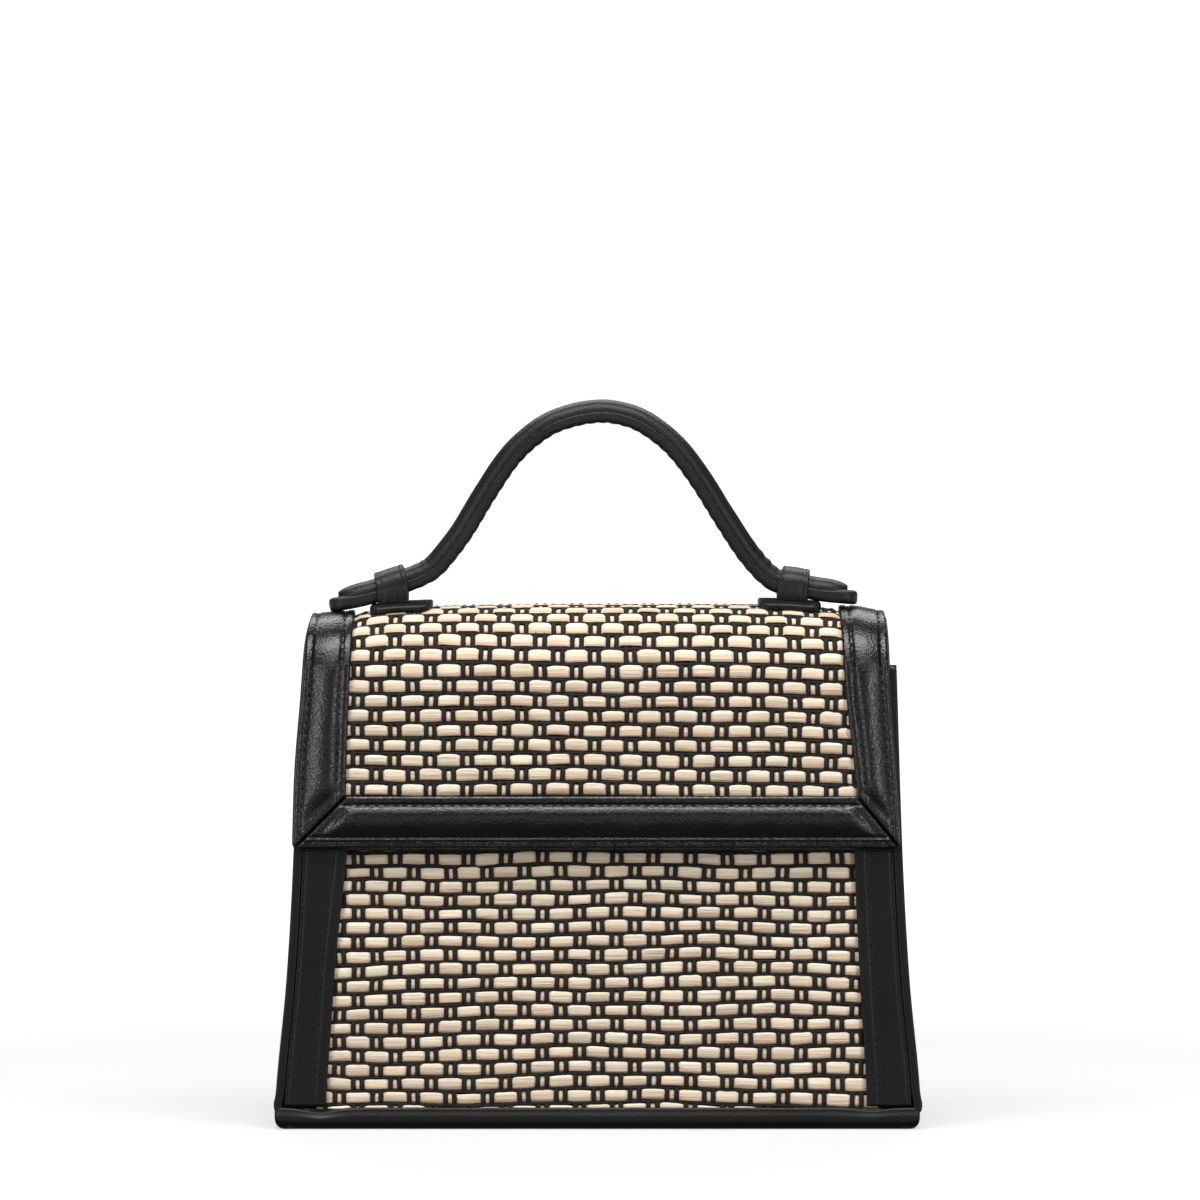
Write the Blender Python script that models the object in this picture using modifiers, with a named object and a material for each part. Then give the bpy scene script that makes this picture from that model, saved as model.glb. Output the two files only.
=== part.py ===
"""A small structured bag with a top handle: woven walls and a woven flap, edged with leather.

Metres, +Z up. The front faces -Y and the origin is the middle of the base, on the ground.
"""

import math

import bmesh
import bpy
from mathutils import Matrix, Vector

# Driving dimensions of the body

BODY_WIDTH = 0.2218
BODY_HEIGHT = 0.159
BASE_DEPTH = 0.090
BODY_TOP_DEPTH = 0.054
BACK_HEIGHT = 0.150
BASE_FLOOR = 0.0025
BASE_LIP_HEIGHT = 0.0075
BASE_LIP_WALL = 0.002
BASE_EDGE_RADIUS = 0.003
PANEL_WALL = 0.0016
STRIP_WALL = 0.0014
STRIP_WIDTH = 0.0175
GUSSET_WALL = 0.0016
GUSSET_TUCK = 0.005
GUSSET_SEAM_MARGIN = 0.007
GUSSET_GROUND_GAP = 0.0005
GUSSET_SLOPE_END = 0.6  # share of the half depth past which the gusset's top is level with the back seam

# Driving dimensions of the flap

FLAP_INSET = 0.0118
FLAP_WIDTH = BODY_WIDTH - FLAP_INSET
FLAP_HEADROOM = 0.0199
FLAP_OVERHANG = 0.0637
FLAP_TOP_FLAT = 0.008
FLAP_AIR = 0.0005
FLAP_DROOP = 0.0042
LINING_WALL = 0.001
LINING_MARGIN = 0.0006
TRIM_LEATHER = 0.0012
TRIM_PUFF = 0.0007
TRIM_LAP = 0.006
SIDE_TRIM_WIDTH = 0.0165
BOTTOM_TRIM_WIDTH = 0.0182

# Driving dimensions of the handle and its holders

HANDLE_INSET = 0.026
HANDLE_SPAN = FLAP_WIDTH - HANDLE_INSET
HANDLE_RISE = 0.0665
HANDLE_WIDTH = 0.015
STRAP_WALL = 0.0037
STRAP_END_WALL = 0.0047
STRAP_END_LENGTH = 0.022
STRAP_CORNER_RADIUS = 0.005
STRAP_EDGE_ROUNDING = 0.0009
ROLL_WIDTH = 0.0125
ROLL_HEIGHT = 0.0041
ROLL_END_HEIGHT = 0.0036
ROLL_INSET = 0.0028
ROLL_TAPER = 0.0095
ROLL_TIP = 0.12  # share of the roll's width that is left at its tips
LOOP_LENGTH = 0.0105
LOOP_WALL = 0.0014
TAB_WIDTH = 0.0217
TAB_REACH = 0.024
TAB_WALL = 0.0022
TAB_CORNER_RADIUS = 0.004

# The hidden closure

SNAP_RADIUS = 0.008
SNAP_BELOW_TOP = 0.046

# Clearance between pieces that touch on the real bag

FIT = 0.0003

# Half the body's width up its side seam
# height: share of BODY_HEIGHT, width: share of half of BODY_WIDTH
SIDE_SEAM = (
    {"height": 0.00, "width": 0.990},
    {"height": 0.06, "width": 1.000},
    {"height": 0.32, "width": 0.967},
    {"height": 0.58, "width": 0.947},
    {"height": 1.00, "width": 0.929},
)

# Width of the strips sewn on the walls, up the body
# height: share of BODY_HEIGHT, left and right: share of STRIP_WIDTH
WALL_STRIPS = (
    {"height": 0.00, "left": 0.91, "right": 0.97},
    {"height": 0.20, "left": 0.865, "right": 0.91},
    {"height": 0.34, "left": 0.835, "right": 0.865},
    {"height": 0.45, "left": 0.87, "right": 0.855},
    {"height": 0.60, "left": 0.955, "right": 0.85},
    {"height": 1.00, "left": 1.12, "right": 0.80},
)

# The flap's outline and its side trims, along its run from the back seam to the front edge
# run: share of the run, left and right: share of half of FLAP_WIDTH,
# trim_left and trim_right: share of SIDE_TRIM_WIDTH, puff: share of TRIM_PUFF
FLAP_OUTLINE = (
    {"run": 0.00, "left": 0.972, "right": 0.972, "trim_left": 0.93, "trim_right": 0.96, "puff": 0.4},
    {"run": 0.34, "left": 0.955, "right": 0.955, "trim_left": 0.93, "trim_right": 0.98, "puff": 0.2},
    {"run": 0.50, "left": 0.967, "right": 0.957, "trim_left": 0.98, "trim_right": 0.95, "puff": 0.5},
    {"run": 0.62, "left": 0.977, "right": 0.963, "trim_left": 0.99, "trim_right": 0.92, "puff": 1.0},
    {"run": 0.80, "left": 0.996, "right": 0.980, "trim_left": 1.06, "trim_right": 0.86, "puff": 1.0},
    {"run": 1.00, "left": 1.004, "right": 0.997, "trim_left": 1.09, "trim_right": 0.83, "puff": 1.0},
)

# How far the top of the flap hangs lower towards its sides, where the handle presses on it
# across: share of half of FLAP_WIDTH, drop: share of FLAP_DROOP
FLAP_SAG = (
    {"across": -1.00, "drop": 0.80},
    {"across": -0.95, "drop": 0.81},
    {"across": -0.88, "drop": 0.93},
    {"across": -0.80, "drop": 0.79},
    {"across": -0.75, "drop": 0.56},
    {"across": -0.65, "drop": 0.29},
    {"across": -0.30, "drop": 0.04},
    {"across": 0.00, "drop": 0.00},
    {"across": 0.60, "drop": 0.07},
    {"across": 0.72, "drop": 0.28},
    {"across": 0.80, "drop": 0.43},
    {"across": 0.88, "drop": 0.56},
    {"across": 0.95, "drop": 0.58},
    {"across": 1.00, "drop": 0.60},
)

# Upper side of a padded trim, from its inner edge to the flap's edge
# across: share of the trim's width, step: share of the step up on the woven panel, puff: share of the padding
TRIM_SECTION = (
    {"across": 0.00, "step": 1.00, "puff": 0.0},
    {"across": 0.08, "step": 1.00, "puff": 0.3},
    {"across": 0.25, "step": 1.00, "puff": 1.0},
    {"across": 0.48, "step": 0.85, "puff": 1.0},
    {"across": 0.70, "step": 0.60, "puff": 0.8},
    {"across": 0.88, "step": 0.45, "puff": 0.2},
    {"across": 1.00, "step": 0.40, "puff": 0.0},
)

# The line of the seam between the strap and the roll of the handle
# across: share of half of HANDLE_SPAN, rise: share of HANDLE_RISE
HANDLE_LINE = (
    {"across": -1.020, "rise": 0.022},
    {"across": -0.885, "rise": 0.049},
    {"across": -0.760, "rise": 0.098},
    {"across": -0.652, "rise": 0.158},
    {"across": -0.607, "rise": 0.206},
    {"across": -0.515, "rise": 0.369},
    {"across": -0.424, "rise": 0.576},
    {"across": -0.333, "rise": 0.761},
    {"across": -0.242, "rise": 0.881},
    {"across": -0.150, "rise": 0.955},
    {"across": 0.000, "rise": 1.000},
    {"across": 0.121, "rise": 0.976},
    {"across": 0.212, "rise": 0.910},
    {"across": 0.303, "rise": 0.800},
    {"across": 0.393, "rise": 0.633},
    {"across": 0.485, "rise": 0.429},
    {"across": 0.576, "rise": 0.243},
    {"across": 0.666, "rise": 0.120},
    {"across": 0.750, "rise": 0.094},
    {"across": 0.850, "rise": 0.072},
    {"across": 0.983, "rise": 0.063},
)

# Where the handle's two holders sit
# side: part of the node names, loop and tab: share of half of HANDLE_SPAN
HOLDERS = (
    {"side": "left", "loop": -0.775, "tab": -0.743},
    {"side": "right", "loop": 0.735, "tab": 0.724},
)

# Facets

WALL_MARKS = (0.03, 0.06, 0.10, 0.18, 0.32, 0.45, 0.58, 0.72, 0.86)
BEND_STEPS = 9
LINE_STEPS = 4
SHEET_COLUMNS = 10
STRIP_COLUMNS = 2
HANDLE_STEPS = 46
DOME_STEPS = 8
CORNER_STEPS = 4
SNAP_SIDES = 24
SLOPE_STEPS = 920

COLLECTION = "crossbody_bag"

# Colours: red, green, blue, and then roughness

LEATHER_LOOK = ((0.012, 0.012, 0.013), 0.42)
WOVEN_LOOK = ((0.62, 0.53, 0.42), 0.75)
LINING_LOOK = ((0.010, 0.010, 0.011), 0.55)
SNAP_LOOK = ((0.45, 0.45, 0.47), 0.3)


def read(table, key, share, column):
    """A smooth value of one column at a share of the key column, held flat past both ends."""
    keys = [row[key] for row in table]
    values = [row[column] for row in table]
    if share <= keys[0]:
        return values[0]
    if share >= keys[-1]:
        return values[-1]
    low = max(i for i in range(len(keys) - 1) if keys[i] <= share)
    slopes = []
    for i in (low, low + 1):
        before, after = max(i - 1, 0), min(i + 1, len(keys) - 1)
        slopes.append((values[after] - values[before]) / (keys[after] - keys[before]))
    step = keys[low + 1] - keys[low]
    t = (share - keys[low]) / step
    return (
        values[low] * (2 * t**3 - 3 * t**2 + 1)
        + slopes[0] * step * (t**3 - 2 * t**2 + t)
        + values[low + 1] * (3 * t**2 - 2 * t**3)
        + slopes[1] * step * (t**3 - t**2)
    )


# The body's walls

PANEL_FOOT = BASE_FLOOR + FIT
FACE_BASE = BASE_DEPTH / 2 - BASE_LIP_WALL - FIT
FACE_TOP = BODY_TOP_DEPTH / 2
LEAN = math.atan((FACE_BASE - FACE_TOP) / BODY_HEIGHT)


def face_y(z):
    """How far the outer face of the front or back wall is from the middle, at a height."""
    return FACE_BASE - z * math.tan(LEAN)


def side_x(z):
    """Half the body's width at a height, over the gussets."""
    return BODY_WIDTH / 2 * read(SIDE_SEAM, "height", z / BODY_HEIGHT, "width")


def inside_x(z):
    """Half the width between the gussets at their edges, less the clearance."""
    return side_x(z) - GUSSET_WALL - FIT


def wall_levels(foot, top):
    """Heights from foot to top, which all pieces of the walls share between those two."""
    marks = [share * BODY_HEIGHT for share in WALL_MARKS]
    return [foot] + [mark for mark in marks if foot + FIT < mark < top - FIT] + [top]


# The flap's run: up the back, over a bend, a short flat top and a second bend, and down the front

PANEL_UNDER = LINING_WALL + FIT
PANEL_TOP = PANEL_UNDER + PANEL_WALL
TRIM_OVER_PANEL = PANEL_TOP + FIT
FRONT_STANDOFF = FIT + STRIP_WALL + FLAP_AIR
BACK_STANDOFF = -PANEL_TOP
CREST = BODY_HEIGHT + FLAP_HEADROOM
FLAP_EDGE = BODY_HEIGHT - FLAP_OVERHANG
BACK_SEAM = BACK_HEIGHT + FIT


def bend_radius():
    """The radius of the lining's inner face at which both bends meet the walls' lines."""
    span = (2 * FACE_BASE - FLAP_TOP_FLAT) * math.cos(LEAN) + FRONT_STANDOFF + BACK_STANDOFF
    return (span - 2 * math.sin(LEAN) * (CREST - PANEL_TOP)) / (2 * (1 - math.sin(LEAN)))


BEND = bend_radius()
BEND_Z = CREST - PANEL_TOP - BEND
FRONT_BEND_Y = -FACE_BASE + (BEND - FRONT_STANDOFF + BEND_Z * math.sin(LEAN)) / math.cos(LEAN)
BACK_BEND_Y = FRONT_BEND_Y + FLAP_TOP_FLAT
TANGENT_Z = BEND_Z + BEND * math.sin(LEAN)
BEND_LENGTH = BEND * (math.pi / 2 - LEAN)
BACK_LENGTH = (TANGENT_Z - BACK_SEAM) / math.cos(LEAN)
FRONT_LENGTH = (TANGENT_Z - FLAP_EDGE) / math.cos(LEAN)
RUN = BACK_LENGTH + 2 * BEND_LENGTH + FLAP_TOP_FLAT + FRONT_LENGTH
TOP_MIDDLE = BACK_LENGTH + BEND_LENGTH + FLAP_TOP_FLAT / 2
TOP_Y = (FRONT_BEND_Y + BACK_BEND_Y) / 2


def flap_line(s):
    """(y, z) of the lining's inner face and the outward normal's (y, z), at a length along the run."""
    if s < BACK_LENGTH:
        normal = (math.cos(LEAN), math.sin(LEAN))
        back = BACK_LENGTH - s
        y = BACK_BEND_Y + BEND * normal[0] + back * math.sin(LEAN)
        return (y, TANGENT_Z - back * math.cos(LEAN)), normal
    s -= BACK_LENGTH
    if s < BEND_LENGTH:
        turn = LEAN + s / BEND
        normal = (math.cos(turn), math.sin(turn))
        return (BACK_BEND_Y + BEND * normal[0], BEND_Z + BEND * normal[1]), normal
    s -= BEND_LENGTH
    if s < FLAP_TOP_FLAT:
        return (BACK_BEND_Y - s, BEND_Z + BEND), (0.0, 1.0)
    s -= FLAP_TOP_FLAT
    if s < BEND_LENGTH:
        turn = math.pi / 2 + s / BEND
        normal = (math.cos(turn), math.sin(turn))
        return (FRONT_BEND_Y + BEND * normal[0], BEND_Z + BEND * normal[1]), normal
    s -= BEND_LENGTH
    normal = (-math.cos(LEAN), math.sin(LEAN))
    y = FRONT_BEND_Y + BEND * normal[0] - s * math.sin(LEAN)
    return (y, TANGENT_Z - s * math.cos(LEAN)), normal


def flap_point(x, s, height):
    """A point at x, at a length along the flap's run and a height above the lining's inner face."""
    (y, z), normal = flap_line(s)
    drop = FLAP_DROOP * read(FLAP_SAG, "across", x / (FLAP_WIDTH / 2), "drop") * normal[1] ** 2
    return Vector((x, y + height * normal[0], z + height * normal[1] - drop))


def flap_top_z(x, y, height):
    """How high the flap's top lies at x and y, at a height above the lining's inner face."""
    past = max(FRONT_BEND_Y - y, y - BACK_BEND_Y, 0.0)
    radius = BEND + height
    rise = math.sqrt(radius**2 - past**2)
    drop = FLAP_DROOP * read(FLAP_SAG, "across", x / (FLAP_WIDTH / 2), "drop") * (rise / radius) ** 2
    return BEND_Z + rise - drop


def flap_half(s, side):
    """How far the lining's edge is from the middle, on the left or the right."""
    return FLAP_WIDTH / 2 * read(FLAP_OUTLINE, "run", s / RUN, side)


def trim_x(s, side, across):
    """x of a point across a side trim: 0 is its inner edge and 1 its outer edge."""
    outer = flap_half(s, side) - LINING_MARGIN
    width = SIDE_TRIM_WIDTH * read(FLAP_OUTLINE, "run", s / RUN, "trim_" + side)
    sign = -1 if side == "left" else 1
    return sign * (outer - width * (1 - across))


TRIM_END = RUN - LINING_MARGIN
MITRE_START = TRIM_END - BOTTOM_TRIM_WIDTH
MITRE_BLEND = 0.80  # share of a side trim's length past which its stations swing round to the mitre


def run_stations(first, last):
    """Lengths along the flap's run that follow its bends, from first to last."""
    marks = [0.0]
    for length, steps in (
        (BACK_LENGTH, 1),
        (BEND_LENGTH, BEND_STEPS),
        (FLAP_TOP_FLAT, 1),
        (BEND_LENGTH, BEND_STEPS),
        (FRONT_LENGTH, LINE_STEPS),
    ):
        start = marks[-1]
        marks += [start + length * (i + 1) / steps for i in range(steps)]
    return [first] + [mark for mark in marks if first + FIT < mark < last - FIT] + [last]


# Making objects


def material(name, look):
    made = bpy.data.materials.new(name)
    made.use_nodes = True
    shader = made.node_tree.nodes["Principled BSDF"]
    shader.inputs["Base Color"].default_value = (*look[0], 1.0)
    shader.inputs["Roughness"].default_value = look[1]
    return made


def add_object(name, mesh, look):
    """An object in the bag's collection, with a material of its own."""
    mesh.shade_smooth()
    mesh.set_sharp_from_angle(angle=math.radians(35))
    mesh.materials.append(material(name, look))
    made = bpy.data.objects.new(name, mesh)
    bpy.data.collections[COLLECTION].objects.link(made)
    return made


def sheet(name, place, columns, rows, wall, look):
    """A wall of even thickness. place gives its visible or under face, from the shares across and along,
    and the wall is added behind that face."""
    mesh = bpy.data.meshes.new(name)
    grid = bmesh.new()
    across = len(columns) - 1
    along = len(rows) - 1
    bmesh.ops.create_grid(grid, x_segments=across, y_segments=along, size=1.0)
    for vertex in grid.verts:
        column = columns[round((vertex.co.x + 1) / 2 * across)]
        row = rows[round((vertex.co.y + 1) / 2 * along)]
        vertex.co = place(column, row)
    grid.to_mesh(mesh)
    grid.free()
    made = add_object(name, mesh, look)
    solidify = made.modifiers.new("wall", "SOLIDIFY")
    solidify.thickness = wall
    solidify.offset = -1
    solidify.use_even_offset = True
    return made


def loft(name, rings, look):
    """A closed body through rings of points, capped at both ends."""
    mesh = bpy.data.meshes.new(name)
    body = bmesh.new()
    loops = [[body.verts.new(point) for point in ring] for ring in rings]
    count = len(loops[0])
    for near, far in zip(loops, loops[1:]):
        for i in range(count):
            j = (i + 1) % count
            body.faces.new((near[i], near[j], far[j], far[i]))
    body.faces.new(loops[0])
    body.faces.new(loops[-1])
    bmesh.ops.recalc_face_normals(body, faces=body.faces)
    body.to_mesh(mesh)
    body.free()
    return add_object(name, mesh, look)


def shares(steps):
    return [i / steps for i in range(steps + 1)]


def between(low, high, share):
    return low + (high - low) * share


# The body


def base_panel():
    """The base with its lips, as one profile carried along x between the gussets."""
    half = BASE_DEPTH / 2
    radius = BASE_EDGE_RADIUS
    side = [(half, BASE_LIP_HEIGHT)]
    for share in shares(CORNER_STEPS):
        turn = share * math.pi / 2
        side.append((half - radius + radius * math.cos(turn), radius - radius * math.sin(turn)))
    inner = half - BASE_LIP_WALL
    profile = [(-y, z) for y, z in side]
    profile += [(y, z) for y, z in reversed(side)]
    profile += [(inner, BASE_LIP_HEIGHT), (inner, BASE_FLOOR), (-inner, BASE_FLOOR), (-inner, BASE_LIP_HEIGHT)]
    reach = inside_x(0.0)
    rings = [[Vector((x, y, z)) for y, z in profile] for x in (-reach, reach)]
    loft("base_panel", rings, LEATHER_LOOK)


def wall_panel(name, facing, top):
    """A woven wall. facing is -1 for the front and 1 for the back."""

    def place(across, z):
        return Vector((-facing * across * inside_x(z), facing * face_y(z), z))

    columns = [2 * share - 1 for share in shares(SHEET_COLUMNS)]
    sheet(name, place, columns, wall_levels(PANEL_FOOT, top), PANEL_WALL, WOVEN_LOOK)


def wall_strip(name, facing, side, top):
    """A flat leather strip on a woven wall, against the gusset."""
    foot = BASE_LIP_HEIGHT + FIT
    sign = -1 if side == "left" else 1

    def place(across, z):
        width = STRIP_WIDTH * read(WALL_STRIPS, "height", z / BODY_HEIGHT, side)
        x = sign * (inside_x(z) - width * across)
        out = Vector((0.0, facing * math.cos(LEAN), math.sin(LEAN)))
        return Vector((x, facing * face_y(z), z)) + out * (FIT + STRIP_WALL)

    columns = shares(STRIP_COLUMNS)
    if sign * facing < 0:
        columns.reverse()
    sheet(name, place, columns, wall_levels(foot, top), STRIP_WALL, LEATHER_LOOK)


def gusset(side):
    """A side wall that tucks in between its seams and is lower at the back than at the front."""
    sign = -1 if side == "left" else 1
    back_top = BACK_HEIGHT - FIT
    levels = wall_levels(GUSSET_GROUND_GAP, min(BODY_HEIGHT, back_top))

    def place(across, z):
        if z == levels[-1]:
            z = between(BODY_HEIGHT, back_top, min((across + 1) / (GUSSET_SLOPE_END + 1), 1.0))
        edge = face_y(z) + FIT + STRIP_WALL
        y = across * edge
        tucked = edge - GUSSET_SEAM_MARGIN
        tuck = GUSSET_TUCK * z / BODY_HEIGHT * max(1 - (y / tucked) ** 2, 0.0) ** 2
        return Vector((sign * (side_x(z) - tuck), y, z))

    columns = [2 * share - 1 for share in shares(SHEET_COLUMNS)]
    if side == "left":
        columns.reverse()
    sheet("gusset_" + side, place, columns, levels, GUSSET_WALL, LEATHER_LOOK)


def magnetic_snap():
    """A plain disc between the front wall and the flap's lining."""
    thickness = FRONT_STANDOFF - 2 * FIT
    z = BODY_HEIGHT - SNAP_BELOW_TOP
    out = Vector((0.0, -math.cos(LEAN), math.sin(LEAN)))
    mesh = bpy.data.meshes.new("magnetic_snap")
    disc = bmesh.new()
    bmesh.ops.create_cone(
        disc, cap_ends=True, segments=SNAP_SIDES, radius1=SNAP_RADIUS, radius2=SNAP_RADIUS, depth=thickness
    )
    turned = out.to_track_quat("Z", "Y").to_matrix().to_4x4()
    middle = Vector((0.0, -face_y(z), z)) + out * (FIT + thickness / 2)
    disc.transform(Matrix.Translation(middle) @ turned)
    disc.to_mesh(mesh)
    disc.free()
    add_object("magnetic_snap", mesh, SNAP_LOOK)


# The flap


def flap_lining():
    def place(across, s):
        half = flap_half(s, "left" if across < 0 else "right")
        return flap_point(across * half, s, 0.0)

    columns = [2 * share - 1 for share in shares(2 * SHEET_COLUMNS)]
    sheet("flap_lining", place, columns, run_stations(0.0, RUN), LINING_WALL, LINING_LOOK)


def flap_panel():
    """The woven flap, whose edges lie under the trims."""

    def place(across, s):
        side = "left" if across < 0 else "right"
        sign = -1 if across < 0 else 1
        edge = trim_x(s, side, 0.0) + sign * (TRIM_LAP - FIT)
        return flap_point(abs(across) * edge, s, PANEL_UNDER)

    columns = [2 * share - 1 for share in shares(2 * SHEET_COLUMNS)]
    rows = run_stations(0.0, MITRE_START + TRIM_LAP - FIT)
    sheet("flap_panel", place, columns, rows, PANEL_WALL, WOVEN_LOOK)


def trim_height(across, puff):
    """How high a trim's upper side lies above the lining's inner face, at a share across the trim."""
    step = read(TRIM_SECTION, "across", across, "step") * (PANEL_WALL + FIT)
    return PANEL_UNDER + step + TRIM_LEATHER + read(TRIM_SECTION, "across", across, "puff") * puff


def trim_ring(point, width, puff):
    """The closed section of a trim. point places a share across and a height above the lining's inner face."""
    lap = TRIM_LAP / width
    ring = [point(row["across"], trim_height(row["across"], puff)) for row in TRIM_SECTION]
    ring += [point(1.0, PANEL_UNDER), point(lap, PANEL_UNDER)]
    ring += [point(lap, TRIM_OVER_PANEL), point(0.0, TRIM_OVER_PANEL)]
    return ring


def flap_trim_side(side):
    """A side trim, cut at the mitre so that its outer edge runs on to the flap's corner."""
    rings = []
    for s in run_stations(0.0, MITRE_START):
        swing = max(s / MITRE_START - MITRE_BLEND, 0.0) / (1 - MITRE_BLEND)

        def point(across, height, s=s, swing=swing):
            here = s + swing * (BOTTOM_TRIM_WIDTH * across - FIT / 2)
            return flap_point(trim_x(here, side, across), here, height)

        width = abs(trim_x(s, side, 1.0) - trim_x(s, side, 0.0))
        puff = TRIM_PUFF * read(FLAP_OUTLINE, "run", s / RUN, "puff")
        rings.append(trim_ring(point, width, puff))
    loft("flap_trim_" + side, rings, LEATHER_LOOK)


def flap_trim_bottom():
    """The bottom trim, cut at a mitre at both ends."""
    rings = []
    for share in shares(SHEET_COLUMNS):

        def point(across, height, share=share):
            s = MITRE_START + BOTTOM_TRIM_WIDTH * across
            left = trim_x(s, "left", across) + FIT
            right = trim_x(s, "right", across) - FIT
            return flap_point(between(left, right, share), s, height)

        rings.append(trim_ring(point, BOTTOM_TRIM_WIDTH, TRIM_PUFF))
    loft("flap_trim_bottom", rings, LEATHER_LOOK)


# The handle

HANDLE_LEFT = HANDLE_LINE[0]["across"] * HANDLE_SPAN / 2
HANDLE_RIGHT = HANDLE_LINE[-1]["across"] * HANDLE_SPAN / 2


def handle_foot():
    """The height from which the handle's line rises: its left end lies on the flap's left trim."""
    inner, outer = trim_x(TOP_MIDDLE, "left", 0.0), trim_x(TOP_MIDDLE, "left", 1.0)
    puff = TRIM_PUFF * read(FLAP_OUTLINE, "run", TOP_MIDDLE / RUN, "puff")
    rest = flap_top_z(HANDLE_LEFT, TOP_Y, trim_height((HANDLE_LEFT - inner) / (outer - inner), puff))
    return rest + FIT + STRAP_END_WALL - HANDLE_LINE[0]["rise"] * HANDLE_RISE


HANDLE_FOOT = handle_foot()


def handle_height(x):
    return HANDLE_FOOT + HANDLE_RISE * read(HANDLE_LINE, "across", x / (HANDLE_SPAN / 2), "rise")


def handle_frame(x):
    """A point on the handle's seam line, and the direction square to that line and up from the strap."""
    step = HANDLE_SPAN / SLOPE_STEPS
    before, after = max(x - step, HANDLE_LEFT), min(x + step, HANDLE_RIGHT)
    tangent = Vector((after - before, 0.0, handle_height(after) - handle_height(before))).normalized()
    return Vector((x, TOP_Y, handle_height(x))), Vector((-tangent.z, 0.0, tangent.x))


def handle_stations():
    """x along the handle at even lengths of its seam line, with closer ones at both ends, and each length."""
    fine = SLOPE_STEPS
    lengths = [0.0]
    xs = [between(HANDLE_LEFT, HANDLE_RIGHT, share) for share in shares(fine)]
    for a, b in zip(xs, xs[1:]):
        lengths.append(lengths[-1] + math.hypot(b - a, handle_height(b) - handle_height(a)))
    total = lengths[-1]
    ends = [STRAP_CORNER_RADIUS * share**2 for share in shares(CORNER_STEPS)]
    first, last = ends[-1], total - ends[-1]
    wanted = ends[:-1] + [between(first, last, share) for share in shares(HANDLE_STEPS)]
    wanted += [total - length for length in reversed(ends[:-1])]
    found = []
    i = 0
    for length in wanted:
        while i < fine - 1 and lengths[i + 1] < length:
            i += 1
        share = (length - lengths[i]) / (lengths[i + 1] - lengths[i])
        found.append((between(xs[i], xs[i + 1], share), length))
    return found, total


def rounded_end(inset, radius):
    """How far a rounded corner has come out to the full width, at a distance from the end."""
    if inset >= radius:
        return 0.0
    return radius - math.sqrt(radius**2 - (radius - inset) ** 2)


def handle_strap():
    rings = []
    stations, total = handle_stations()
    for x, length in stations:
        seam, up = handle_frame(x)
        inset = min(length, total - length)
        half = HANDLE_WIDTH / 2 - rounded_end(inset, STRAP_CORNER_RADIUS)
        wall = between(STRAP_END_WALL, STRAP_WALL, min(inset / STRAP_END_LENGTH, 1.0))
        edge = STRAP_EDGE_ROUNDING
        section = [
            (half - edge, 0.0),
            (half, edge),
            (half, wall - edge),
            (half - edge, wall),
        ]
        ring = [seam + Vector((0.0, y, 0.0)) - up * (depth + FIT / 2) for y, depth in section]
        ring += [seam + Vector((0.0, -y, 0.0)) - up * (depth + FIT / 2) for y, depth in reversed(section)]
        rings.append(ring)
    loft("handle_strap", rings, LEATHER_LOOK)


def dome(half, height):
    """Half an ellipse as (y, height) pairs, from the front to the back."""
    turns = [math.pi * share for share in shares(DOME_STEPS)]
    return [(-half * math.cos(turn), height * math.sin(turn)) for turn in turns]


def handle_roll():
    rings = []
    stations, total = handle_stations()
    for x, length in stations:
        inset = min(length, total - length) - ROLL_INSET
        if inset < 0:
            continue
        seam, up = handle_frame(x)
        grown = min(inset / ROLL_TAPER, 1.0)
        full = math.sqrt(1 - (1 - grown) ** 2)
        level = between(ROLL_END_HEIGHT, ROLL_HEIGHT, min(inset / STRAP_END_LENGTH, 1.0))
        height = level * between(ROLL_TIP / 2, 1.0, full)
        half = ROLL_WIDTH / 2 * between(ROLL_TIP, 1.0, full)
        ring = [seam + Vector((0.0, y, 0.0)) + up * (rise + FIT / 2) for y, rise in dome(half, height)]
        rings.append(ring)
    loft("handle_roll", rings, LEATHER_LOOK)


def handle_loop(holder):
    """An arch of leather over the handle, whose two legs stand on the tab."""
    middle = holder["loop"] * HANDLE_SPAN / 2
    inner = HANDLE_WIDTH / 2 + FIT
    outer = inner + LOOP_WALL
    tab_top = TRIM_OVER_PANEL + TAB_WALL
    crown = ROLL_HEIGHT + 2 * FIT
    rings = []
    for share in shares(2):
        x = middle + LOOP_LENGTH * (share - 0.5)
        seam, up = handle_frame(x)

        def foot(y, x=x):
            return Vector((x, TOP_Y + y, flap_top_z(x, TOP_Y + y, tab_top) + FIT))

        def arch(half, height, seam=seam, up=up):
            return [seam + Vector((0.0, y, 0.0)) + up * rise for y, rise in dome(half, height)]

        ring = [foot(-outer)] + arch(outer, crown + LOOP_WALL) + [foot(outer)]
        ring += [foot(inner)] + arch(inner, crown)[::-1] + [foot(-inner)]
        rings.append(ring)
    loft("handle_loop_" + holder["side"], rings, LEATHER_LOOK)


def loop_tab(holder):
    """A tab with rounded corners that lies over the top of the flap."""
    middle = holder["tab"] * HANDLE_SPAN / 2
    near = [TAB_CORNER_RADIUS * share**2 for share in shares(CORNER_STEPS)]
    rows = near[:-1] + [between(near[-1], TAB_REACH - near[-1], share) for share in shares(2 * LINE_STEPS)]
    rows += [TAB_REACH - row for row in reversed(near[:-1])]

    def place(across, row):
        inset = min(row, TAB_REACH - row)
        half = TAB_WIDTH / 2 - rounded_end(inset, TAB_CORNER_RADIUS)
        s = TOP_MIDDLE + row - TAB_REACH / 2
        return flap_point(middle + across * half, s, TRIM_OVER_PANEL)

    columns = [2 * share - 1 for share in shares(2)]
    sheet("loop_tab_" + holder["side"], place, columns, rows, TAB_WALL, LEATHER_LOOK)


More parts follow.
